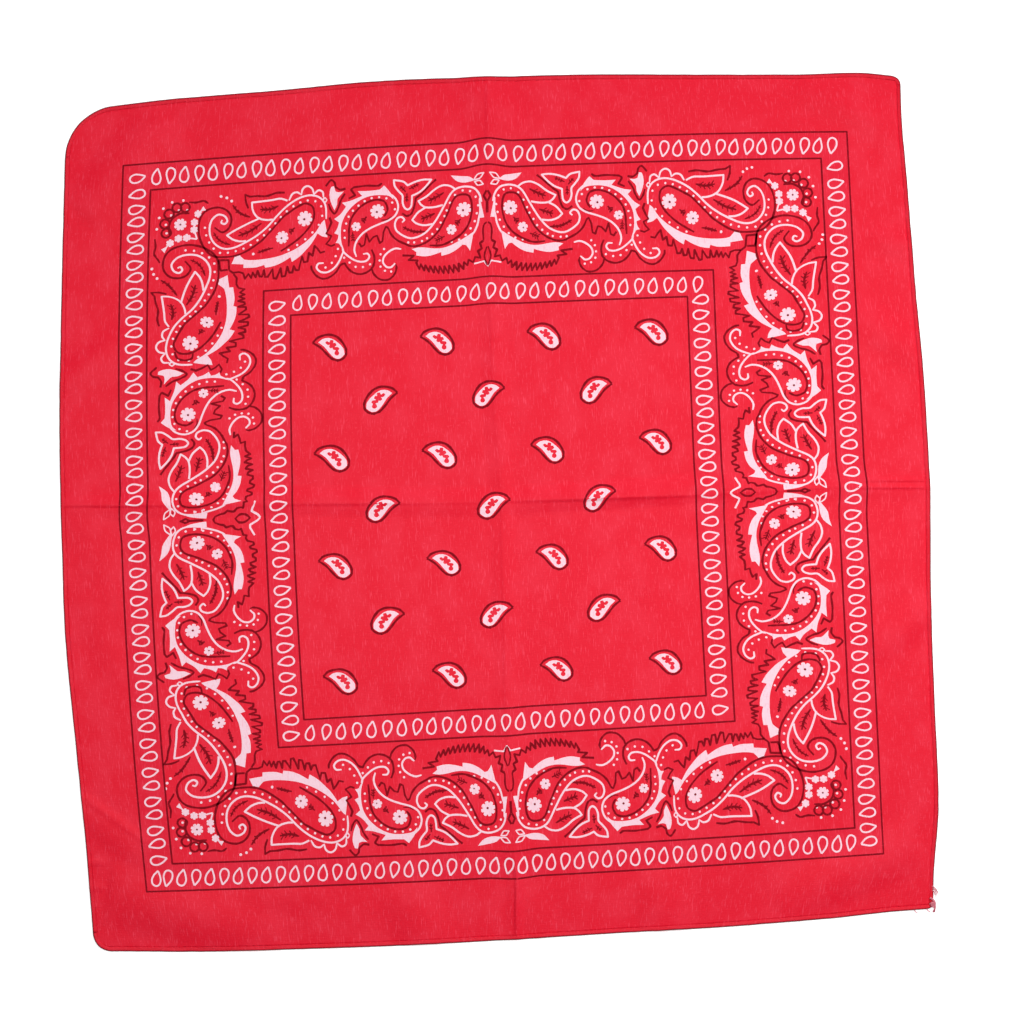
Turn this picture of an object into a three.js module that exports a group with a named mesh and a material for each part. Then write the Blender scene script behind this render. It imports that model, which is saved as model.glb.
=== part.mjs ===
// A square cotton bandana laid flat on a table, face up: one printed panel and its four narrow hems.
// Millimetres, +Z up, +Y towards the top of the print. The origin is under the middle, on the table.
//
// Every point starts on the flat cut square as (u, v), measured from its middle along the weave.
// layOut() then carries it to where it lies on the table, and liftAt() raises it over the folds.

import * as THREE from 'three';

// Driving dimensions
const CUT_SIDE = 550;
const CLOTH_WALL = 1.0;
const HEM_WIDTH = 3.0;
const HEM_HEIGHT = 1.8;
const SEAM_GAP = 0.3;
const GRID_PITCH = 16;
const FOLD_PITCH = 5;
const ARC_STEPS = { large: 8, small: 4 };
const LARGE_RADIUS = 15;

const HALF = CUT_SIDE / 2;

// The stretches round the two quarter folds where the grid is closer
const FOLD_SPAN = { across: [-12, 12], up: [-4, 26] };

// Radius of each corner of the cut square, at the hem's outer edge
const CORNER_RADIUS = { topLeft: 30, topRight: 6, bottomRight: 4, bottomLeft: 12 };

// Nested squares of the flat cloth, from its middle to its cut edge, and where each lies on the table.
// half: half side of the flat square. tl, tr, br, bl: its corners as laid, before rounding.
// left, top, right, bottom: how far the middle of each side bows outwards from its straight line.
const LAID_SQUARES = [
  { half: 0, tl: [3, -2], tr: [3, -2], br: [3, -2], bl: [3, -2], left: 0, top: 0, right: 0, bottom: 0 },
  {
    half: 129, tl: [-132, 124], tr: [123, 136], br: [135, -120.5], bl: [-123.5, -136],
    left: 2.6, top: 0.9, right: -0.8, bottom: 0,
  },
  {
    half: 234, tl: [-239.5, 220], tr: [225.5, 242], br: [249, -222], bl: [-224.5, -246.5],
    left: 9, top: 4.6, right: 0.3, bottom: 2.8,
  },
  {
    half: HALF, tl: [-276, 254.5], tr: [260, 277.5], br: [281, -257.5], bl: [-258.5, -285],
    left: 0, top: 0, right: 0, bottom: 0,
  },
];

// How far the cut edge bows out, in rows along each side. at: place along the side, from -1 to 1,
// to the right on the top and bottom edges and upwards on the left and right edges.
const EDGE_BOWS = [
  { at: -1.0, left: 0.0, top: 0.0, right: 0.0, bottom: 0.0 },
  { at: -0.9, left: 1.1, top: 2.4, right: 1.8, bottom: 1.4 },
  { at: -0.75, left: 3.1, top: 5.6, right: 6.2, bottom: 3.7 },
  { at: -0.5, left: 7.7, top: 8.2, right: 6.2, bottom: 5.4 },
  { at: -0.25, left: 12.0, top: 11.5, right: 6.5, bottom: 6.4 },
  { at: 0.0, left: 12.2, top: 11.1, right: 8.6, bottom: 6.2 },
  { at: 0.25, left: 11.4, top: 9.9, right: 7.7, bottom: 5.4 },
  { at: 0.5, left: 8.2, top: 7.0, right: 4.3, bottom: 5.0 },
  { at: 0.75, left: 4.5, top: 4.2, right: 1.6, bottom: 3.0 },
  { at: 0.9, left: 2.0, top: 3.5, right: -0.3, bottom: 0.7 },
  { at: 1.0, left: 0.0, top: 0.0, right: 0.0, bottom: 0.0 },
];

// Folds and soft wrinkles that stand up from the table, each a ridge along a straight line of the
// flat cloth. width: half the ridge's width. rise: its height at the middle of its length.
const FOLDS = [
  { name: 'quarter fold, across', from: [-300, 17], to: [300, 3], width: 11, rise: 2.4 },
  { name: 'quarter fold, down', from: [3, 300], to: [-3, -300], width: 11, rise: 2.0 },
  { name: 'left wrinkle', from: [-225, 125], to: [-285, 90], width: 16, rise: 2.2 },
  { name: 'lower left wrinkle', from: [-290, -165], to: [-228, -208], width: 14, rise: 2.4 },
  { name: 'bottom left corner swell', from: [-262, -235], to: [-150, -268], width: 26, rise: 2.6 },
  { name: 'bottom swell, left', from: [-70, -235], to: [-50, -290], width: 24, rise: 2.0 },
  { name: 'bottom swell, right', from: [92, -232], to: [104, -290], width: 22, rise: 2.2 },
  { name: 'bottom right corner swell', from: [170, -262], to: [262, -228], width: 24, rise: 2.2 },
  { name: 'right wrinkle, low', from: [232, -104], to: [288, -66], width: 18, rise: 2.4 },
  { name: 'right wrinkle, high', from: [230, 118], to: [286, 84], width: 18, rise: 2.2 },
  { name: 'right tuck', from: [246, 166], to: [290, 162], width: 12, rise: 1.8 },
  { name: 'top swell', from: [-10, 290], to: [14, 232], width: 20, rise: 1.6 },
  { name: 'top left corner swell', from: [-262, 205], to: [-205, 262], width: 26, rise: 2.4 },
  { name: 'top right corner swell', from: [205, 268], to: [268, 236], width: 18, rise: 1.8 },
];

const SIDES = ['left', 'top', 'right', 'bottom'];

// Value of one named column of a table at a place, on a smooth curve through its rows
function readTable(rows, place, key, column) {
  let last = rows.length - 2;
  while (last > 0 && rows[last][key] > place) last -= 1;
  const [a, b] = [rows[last], rows[last + 1]];
  const before = rows[Math.max(last - 1, 0)];
  const after = rows[Math.min(last + 2, rows.length - 1)];
  const span = b[key] - a[key];
  const f = THREE.MathUtils.clamp((place - a[key]) / span, 0, 1);
  const slopeA = ((b[column] - before[column]) / (b[key] - before[key])) * span;
  const slopeB = ((after[column] - a[column]) / (after[key] - a[key])) * span;
  return (
    (2 * f ** 3 - 3 * f ** 2 + 1) * a[column] + (f ** 3 - 2 * f ** 2 + f) * slopeA +
    (3 * f ** 2 - 2 * f ** 3) * b[column] + (f ** 3 - f ** 2) * slopeB
  );
}

// The laid square of a given half size, between the two rows of LAID_SQUARES on either side of it
function laidSquare(half) {
  let row = LAID_SQUARES.length - 2;
  while (row > 0 && LAID_SQUARES[row].half > half) row -= 1;
  const [inner, outer] = [LAID_SQUARES[row], LAID_SQUARES[row + 1]];
  const f = (half - inner.half) / (outer.half - inner.half);
  const square = { edge: row === LAID_SQUARES.length - 2 ? f : 0 };
  for (const corner of ['tl', 'tr', 'br', 'bl']) {
    square[corner] = inner[corner].map((value, i) => THREE.MathUtils.lerp(value, outer[corner][i], f));
  }
  for (const side of SIDES) square[side] = THREE.MathUtils.lerp(inner[side], outer[side], f);
  return square;
}

// Where a point of the flat cloth lies on the table, seen from above
function layOut(u, v) {
  const half = Math.max(Math.abs(u), Math.abs(v), 1e-6);
  const [s, t] = [u / half, v / half];
  const square = laidSquare(half);
  const mix = (i) =>
    ((1 - s) * ((1 - t) * square.bl[i] + (1 + t) * square.tl[i]) +
      (1 + s) * ((1 - t) * square.br[i] + (1 + t) * square.tr[i])) / 4;
  const bow = (side, along) =>
    square[side] * (1 - along ** 2) + square.edge * readTable(EDGE_BOWS, along, 'at', side);
  return [
    mix(0) + (bow('right', t) * (1 + s)) / 2 - (bow('left', t) * (1 - s)) / 2,
    mix(1) + (bow('top', s) * (1 + t)) / 2 - (bow('bottom', s) * (1 - t)) / 2,
  ];
}

// Height of the cloth's underside over the table at a point of the flat cloth
function liftAt(u, v) {
  const rises = FOLDS.map(({ from, to, width, rise }) => {
    const run = [to[0] - from[0], to[1] - from[1]];
    const length = Math.hypot(...run);
    const along = ((u - from[0]) * run[0] + (v - from[1]) * run[1]) / length ** 2;
    const away = Math.abs((u - from[0]) * run[1] - (v - from[1]) * run[0]) / length;
    if (along <= 0 || along >= 1 || away >= width) return 0;
    const taper = Math.sin(Math.PI * along) ** 0.5;
    return rise * taper * (1 - (away / width) ** 2) ** 2;
  });
  return Math.hypot(...rises);
}

// A point of the flat cloth at a height above the cloth's underside, as laid
function laidPoint(u, v, height) {
  const [x, y] = layOut(u, v);
  return [x, y, liftAt(u, v) + height];
}

function meshFrom(name, points, triangles, colour) {
  const geometry = new THREE.BufferGeometry();
  geometry.setAttribute('position', new THREE.Float32BufferAttribute(points.flat(), 3));
  geometry.setIndex(triangles.flat());
  geometry.computeVertexNormals();
  const material = new THREE.MeshStandardMaterial({ color: colour, roughness: 0.92, metalness: 0 });
  const mesh = new THREE.Mesh(geometry, material);
  mesh.name = name;
  return mesh;
}

// Places from -reach to reach, about a pitch apart and closer over a fold near the middle
function gridPlaces(reach, foldFrom, foldTo) {
  const places = [];
  const fill = (from, to, pitch) => {
    const steps = Math.max(1, Math.round((to - from) / pitch));
    for (let i = 0; i < steps; i += 1) places.push(THREE.MathUtils.lerp(from, to, i / steps));
  };
  fill(-reach, foldFrom, GRID_PITCH);
  fill(foldFrom, foldTo, FOLD_PITCH);
  fill(foldTo, reach, GRID_PITCH);
  return [...places, reach];
}

// How far a rounded corner cuts a row short, where the row lies a depth inside the edge
function cornerCut(radius, depth) {
  return depth >= radius ? 0 : radius - Math.sqrt(radius ** 2 - (radius - depth) ** 2);
}

// The panel: rows across the cloth, each reaching from its left edge to its right edge
function makePanel() {
  const reach = HALF - HEM_WIDTH - SEAM_GAP;
  const shrink = HEM_WIDTH + SEAM_GAP;
  const radius = (corner) => CORNER_RADIUS[corner] - shrink;
  const columns = gridPlaces(reach, ...FOLD_SPAN.across).map((u) => (u / reach + 1) / 2);
  const depths = [1, 3, 7, 13];
  const rows = [
    ...gridPlaces(reach, ...FOLD_SPAN.up),
    ...depths.slice(0, 2).map((depth) => depth - reach),
    ...depths.map((depth) => reach - depth),
  ].sort((a, b) => a - b);

  const flat = rows.map((v) => {
    const [below, above] = [reach + v, reach - v];
    const left = cornerCut(radius('bottomLeft'), below) + cornerCut(radius('topLeft'), above);
    const right = cornerCut(radius('bottomRight'), below) + cornerCut(radius('topRight'), above);
    return columns.map((f) => [THREE.MathUtils.lerp(left - reach, reach - right, f), v]);
  });
  const [nRows, nColumns] = [rows.length, columns.length];
  const points = [0, CLOTH_WALL].flatMap((height) =>
    flat.flatMap((row) => row.map(([u, v]) => laidPoint(u, v, height))));
  const top = nRows * nColumns;
  const at = (row, column) => row * nColumns + column;

  const triangles = [];
  const quad = (a, b, c, d) => triangles.push([a, b, c], [a, c, d]);
  for (let i = 0; i < nRows - 1; i += 1) {
    for (let j = 0; j < nColumns - 1; j += 1) {
      const cell = [at(i, j), at(i, j + 1), at(i + 1, j + 1), at(i + 1, j)];
      quad(...cell.map((corner) => corner + top));
      quad(...cell.reverse());
    }
  }
  const rim = [
    ...columns.slice(1).map((_, j) => at(0, j)),
    ...rows.slice(1).map((_, i) => at(i, nColumns - 1)),
    ...columns.slice(1).map((_, j) => at(nRows - 1, nColumns - 1 - j)),
    ...rows.slice(1).map((_, i) => at(nRows - 1 - i, 0)),
  ];
  rim.forEach((a, i) => {
    const b = rim[(i + 1) % rim.length];
    quad(a, b, b + top, a + top);
  });
  return meshFrom('cloth', points, triangles, '#d8213b');
}

// Section of a hem, from its outer bottom edge round to its outer side.
// inset: share of the hem's width in from the cut edge. height: share of the hem's height.
const HEM_SECTION = [
  { inset: 0.14, height: 0.0 },
  { inset: 1.0, height: 0.0 },
  { inset: 1.0, height: 0.8 },
  { inset: 0.84, height: 1.0 },
  { inset: 0.2, height: 1.0 },
  { inset: 0.0, height: 0.68 },
  { inset: 0.0, height: 0.28 },
];

// One station of a hem: a place on the cut edge and the direction straight in from it
function station(u, v, inU, inV) {
  return { edge: [u, v], inward: [inU, inV] };
}

// Stations round one corner of the cut square, from the angle where its arc starts, clockwise
function cornerStations(corner, signU, signV, startAngle) {
  const radius = CORNER_RADIUS[corner];
  const steps = radius > LARGE_RADIUS ? ARC_STEPS.large : ARC_STEPS.small;
  const centre = [signU * (HALF - radius), signV * (HALF - radius)];
  return Array.from({ length: steps + 1 }, (_, i) => {
    const angle = startAngle - (Math.PI / 2) * (i / steps);
    const [c, s] = [Math.cos(angle), Math.sin(angle)];
    return station(centre[0] + radius * c, centre[1] + radius * s, -c, -s);
  });
}

// Stations along a straight stretch of one side, at the panel's own grid places and at both ends.
// place: turns a distance along the side into a point of the cut edge.
function straightStations(from, to, places, place, inward) {
  const [low, high] = [Math.min(from, to), Math.max(from, to)];
  const between = places.filter((d) => d > low + SEAM_GAP && d < high - SEAM_GAP);
  const along = from < to ? between : between.reverse();
  return [from, ...along, to].map((d) => station(...place(d), ...inward));
}

// A hem swept through its stations, which run clockwise round the cloth
function makeHem(name, stations) {
  const sides = HEM_SECTION.length;
  const points = stations.flatMap(({ edge, inward }) =>
    HEM_SECTION.map(({ inset, height }) => {
      const depth = inset * HEM_WIDTH;
      return laidPoint(edge[0] + inward[0] * depth, edge[1] + inward[1] * depth, height * HEM_HEIGHT);
    }));
  const triangles = [];
  for (let i = 0; i < stations.length - 1; i += 1) {
    for (let j = 0; j < sides; j += 1) {
      const [a, b] = [i * sides + j, i * sides + ((j + 1) % sides)];
      triangles.push([a, b + sides, b], [a, a + sides, b + sides]);
    }
  }
  const last = (stations.length - 1) * sides;
  for (let j = 1; j < sides - 1; j += 1) {
    triangles.push([0, j, j + 1], [last, last + j + 1, last + j]);
  }
  return meshFrom(name, points, triangles, '#b01a30');
}

function makeHems() {
  const { topLeft, topRight, bottomRight, bottomLeft } = CORNER_RADIUS;
  const across = gridPlaces(HALF, ...FOLD_SPAN.across);
  const up = gridPlaces(HALF, ...FOLD_SPAN.up);
  const top = straightStations(topLeft - HALF, HALF - topRight, across, (d) => [d, HALF], [0, -1]);
  const right = straightStations(
    HALF - topRight - SEAM_GAP, bottomRight + SEAM_GAP - HALF, up, (d) => [HALF, d], [-1, 0]);
  const bottom = straightStations(
    HALF - bottomRight, bottomLeft - HALF, across, (d) => [d, -HALF], [0, 1]);
  const left = straightStations(
    bottomLeft + SEAM_GAP - HALF, HALF - topLeft - SEAM_GAP, up, (d) => [-HALF, d], [1, 0]);
  return [
    makeHem('hem_top', [
      ...cornerStations('topLeft', -1, 1, Math.PI).slice(0, -1),
      ...top,
      ...cornerStations('topRight', 1, 1, Math.PI / 2).slice(1),
    ]),
    makeHem('hem_right', right),
    makeHem('hem_bottom', [
      ...cornerStations('bottomRight', 1, -1, 0).slice(0, -1),
      ...bottom,
      ...cornerStations('bottomLeft', -1, -1, -Math.PI / 2).slice(1),
    ]),
    makeHem('hem_left', left),
  ];
}

const bandana = new THREE.Group();
bandana.add(makePanel(), ...makeHems());

// The origin goes under the middle of the laid cloth
const middle = new THREE.Box3().setFromObject(bandana).getCenter(new THREE.Vector3());
bandana.position.set(-middle.x, -middle.y, 0);

export default bandana;
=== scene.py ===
"""A square printed cotton bandana laid flat, dressed over its CAD frame.

The cloth is a thin shell on the form of its CAD solid. Every point starts on the flat cut square as
(u, v) in millimetres, measured from its middle along the weave, and ClothForm carries it to where it
lies on the table. The print is charted on the flat square, as thin films of ink in two colours, and
is carried the same way, so it follows the cloth over each fold.
"""

import logging
import math
from dataclasses import dataclass, field
from enum import Enum

import bmesh
import bpy
import numpy as np
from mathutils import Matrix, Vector
from mathutils.geometry import delaunay_2d_cdt


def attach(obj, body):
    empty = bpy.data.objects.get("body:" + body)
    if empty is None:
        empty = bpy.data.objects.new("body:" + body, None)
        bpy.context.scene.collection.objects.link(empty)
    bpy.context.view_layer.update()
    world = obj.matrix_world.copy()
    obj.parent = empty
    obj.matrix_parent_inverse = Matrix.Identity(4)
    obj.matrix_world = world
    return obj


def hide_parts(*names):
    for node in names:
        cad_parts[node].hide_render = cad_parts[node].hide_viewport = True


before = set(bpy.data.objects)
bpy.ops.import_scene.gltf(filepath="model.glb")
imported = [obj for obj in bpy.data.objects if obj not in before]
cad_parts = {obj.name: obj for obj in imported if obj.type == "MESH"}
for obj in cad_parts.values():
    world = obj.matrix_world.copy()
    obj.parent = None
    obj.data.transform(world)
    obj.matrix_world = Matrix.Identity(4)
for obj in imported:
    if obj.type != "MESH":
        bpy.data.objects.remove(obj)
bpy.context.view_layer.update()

log = logging.getLogger("bandana")

MM = 0.001
BODY = "root"
CUT_SIDE = 550.0
HALF = CUT_SIDE / 2
HEM_WIDTH = 3.0
FLAT_MAP = "flat"
BAKE_MAP = "OFBake"

# Places of the print's four square rules, from the middle of the cloth
RULES = (234.0, 217.0, 146.0, 129.0)

Points = np.ndarray
Place = tuple[float, float]
Run = tuple[Place, ...]
Tree = bpy.types.NodeTree
Socket = bpy.types.NodeSocket
Piece = bpy.types.Object
Material = bpy.types.Material


class Side(Enum):
    """A side of the square, with the quarter turns that carry the top side onto it."""

    TOP = 0
    RIGHT = 1
    BOTTOM = 2
    LEFT = 3


class Ink(Enum):
    """The two inks of the print, with how far each film stands above the cloth, in millimetres."""

    WHITE = 0.10
    DARK = 0.14


# Form of the cloth


@dataclass(frozen=True)
class LaidSquare:
    """One nested square of the flat cloth and where it lies on the table, in millimetres.

    The corners are as laid, before rounding, and left, top, right and bottom say how far the middle
    of each side bows outwards from its straight line.
    """

    half: float
    tl: Place
    tr: Place
    br: Place
    bl: Place
    left: float = 0.0
    top: float = 0.0
    right: float = 0.0
    bottom: float = 0.0


LAID_SQUARES = (
    LaidSquare(0, (3, -2), (3, -2), (3, -2), (3, -2)),
    LaidSquare(129, (-132, 124), (123, 136), (135, -120.5), (-123.5, -136), 2.6, 0.9, -0.8, 0),
    LaidSquare(234, (-239.5, 220), (225.5, 242), (249, -222), (-224.5, -246.5), 9, 4.6, 0.3, 2.8),
    LaidSquare(HALF, (-276, 254.5), (260, 277.5), (281, -257.5), (-258.5, -285)),
)

# How far the cut edge bows out at places along each side, from -1 to 1
BOW_PLACES = (-1.0, -0.9, -0.75, -0.5, -0.25, 0.0, 0.25, 0.5, 0.75, 0.9, 1.0)
EDGE_BOWS = {
    Side.LEFT: (0, 1.1, 3.1, 7.7, 12.0, 12.2, 11.4, 8.2, 4.5, 2.0, 0),
    Side.TOP: (0, 2.4, 5.6, 8.2, 11.5, 11.1, 9.9, 7.0, 4.2, 3.5, 0),
    Side.RIGHT: (0, 1.8, 6.2, 6.2, 6.5, 8.6, 7.7, 4.3, 1.6, -0.3, 0),
    Side.BOTTOM: (0, 1.4, 3.7, 5.4, 6.4, 6.2, 5.4, 5.0, 3.0, 0.7, 0),
}

# Signs of u and v at each corner, clockwise, and how far each is rounded
CORNERS = {"tl": (-1, 1), "tr": (1, 1), "br": (1, -1), "bl": (-1, -1)}
CORNER_RADIUS = {"tl": 30.0, "tr": 6.0, "br": 4.0, "bl": 12.0}


@dataclass(frozen=True)
class Crease:
    """A sharp crest pressed along a line of the flat cloth: how wide it is on its steep right and on its
    gentle left, and its rise at mid length, in millimetres.
    """

    start: Place
    end: Place
    steep: float
    gentle: float
    rise: float


CREASES = (
    Crease((-280, 17.5), (-205, 13.1), 1.5, 9, 0.95),
    Crease((-222, 14), (-128, 8.5), 1.8, 7, 0.3),
    Crease((-138, 8.8), (-44, 6.3), 1.5, 9, 0.75),
    Crease((-52, 6.4), (20, 5.7), 1.6, 8, 0.4),
    Crease((2, 6.2), (140, 0.1), 1.9, 12, 0.95),
    Crease((14, 5.8), (128, 0.6), 8, 14, 1.1),
    Crease((128, 0.4), (238, 4.5), 1.8, 8, 0.4),
    Crease((228, 7.8), (281, 8.0), 1.5, 3, 0.9),
    Crease((226, 3.3), (281, 3.3), 1.5, 3, 0.8),
    Crease((2.6, 281), (1.3, 226), 2.4, 8, 0.45),
    Crease((1.3, 240), (-0.5, 40), 1.8, 8, 0.35),
    Crease((0.5, 60), (0.6, -232), 1.8, 8, 0.35),
    Crease((0.6, -222), (1.8, -281), 1.6, 6, 1.2),
    Crease((0.6, -216), (1.8, -281), 7.5, 6, 0.9),
    Crease((-280, -170), (-226, -206), 2.2, 5, 0.9),
    Crease((-280, -218), (-262, -216.5), 2.2, 4, 1.0),
    Crease((-280, -234.4), (-263, -233), 2.2, 4, 1.0),
)

# A crease's flanks fall away as this power of the share that is left
CREST_POWER = 1.4


@dataclass(frozen=True)
class Fold:
    """A soft ridge along a line of the flat cloth: half its width and its rise at mid length."""

    start: Place
    end: Place
    width: float
    rise: float


FOLDS = (
    Fold((-300, 18), (60, 3), 11, 1.3),
    Fold((-60, 6), (300, 4), 11, 1.2),
    Fold((3, 300), (1, -300), 11, 0.9),
    Fold((-225, 125), (-285, 90), 16, 2.0),
    Fold((-290, -172), (-228, -214), 16, 1.0),
    Fold((-262, -235), (-150, -268), 26, 2.4),
    Fold((-70, -235), (-50, -290), 24, 1.8),
    Fold((92, -232), (104, -290), 22, 2.0),
    Fold((170, -262), (262, -228), 24, 2.0),
    Fold((232, -104), (288, -66), 18, 2.2),
    Fold((230, 118), (286, 84), 18, 2.0),
    Fold((246, 166), (290, 162), 12, 1.6),
    Fold((-10, 290), (14, 232), 20, 1.4),
    Fold((-262, 205), (-205, 262), 26, 2.2),
    Fold((205, 268), (268, 236), 18, 1.6),
    Fold((-268, 40), (-236, -70), 20, 0.7),
    Fold((-215, -250), (-120, -236), 17, 0.9),
    Fold((-150, 262), (-60, 248), 19, 0.6),
    Fold((60, 252), (150, 262), 22, 0.7),
    Fold((-110, 60), (-20, 84), 24, 0.4),
    Fold((30, -70), (118, -40), 26, 0.45),
    Fold((-100, -90), (10, -112), 28, 0.4),
    Fold((40, 96), (120, 70), 25, 0.35),
    Fold((10, -240), (20, -290), 13, 0.8),
    Fold((250, -20), (262, -150), 18, 0.6),
    Fold((-240, -100), (-262, -30), 15, 0.6),
)

# How far the print and weave are drawn outwards where a quarter fold meets each side, over how much of
# the side's length to each way, and by which share at each distance from the cloth's middle
FOLD_PULL = {Side.TOP: 1.0, Side.RIGHT: 0.5, Side.BOTTOM: 0.5, Side.LEFT: 0.4}
LEVEL_FOLD_AT = {Side.RIGHT: 4.0, Side.LEFT: 7.0}
PULL_REACH = 19.0
PULL_PLACES = (0.0, 110.0, 137.0, 190.0, 225.0, 255.0, 275.0)
PULL_AMOUNTS = (0.0, 0.3, 1.0, 2.0, 2.6, 1.6, 0.4)


def smooth_table(places: tuple[float, ...], values: tuple[float, ...], at: Points) -> Points:
    """Read a table on a smooth curve through its rows.

    Args:
        places: The rows' places, rising.
        values: The value at each place.
        at: Where to read.

    Returns:
        One value for each place in at.
    """
    x, y = np.asarray(places, float), np.asarray(values, float)
    i = np.clip(np.searchsorted(x, at, side="right") - 1, 0, len(x) - 2)
    before, after = np.maximum(i - 1, 0), np.minimum(i + 2, len(x) - 1)
    span = x[i + 1] - x[i]
    f = np.clip((at - x[i]) / span, 0, 1)
    slope_a = (y[i + 1] - y[before]) / (x[i + 1] - x[before]) * span
    slope_b = (y[after] - y[i]) / (x[after] - x[i]) * span
    return (
        (2 * f**3 - 3 * f**2 + 1) * y[i]
        + (f**3 - 2 * f**2 + f) * slope_a
        + (3 * f**2 - 2 * f**3) * y[i + 1]
        + (f**3 - f**2) * slope_b
    )


def arc_steps(corner: str, step: float) -> int:
    """How many steps the cut edge takes round a corner."""
    return max(4, math.ceil(CORNER_RADIUS[corner] * math.pi / 2 / step))


def off_line(flat: Points, line: Crease | Fold) -> tuple[Points, Points]:
    """Each point's distance to the right of a line, and a taper that falls to 0 at the line's ends."""
    start = np.array(line.start, float)
    run = np.array(line.end, float) - start
    length = np.hypot(*run)
    rel = flat - start
    along = (rel @ run) / length**2
    right = (rel[..., 0] * run[1] - rel[..., 1] * run[0]) / length
    return right, np.sqrt(np.sin(np.pi * np.clip(along, 0, 1)))


def turned(points: Points, side: Side) -> Points:
    """Turn points of the top side, (along, outward), onto another side as (u, v)."""
    p, q = points[..., 0], points[..., 1]
    u, v = ((p, q), (q, -p), (-p, -q), (-q, p))[side.value]
    return np.stack([u, v], axis=-1)


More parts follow.
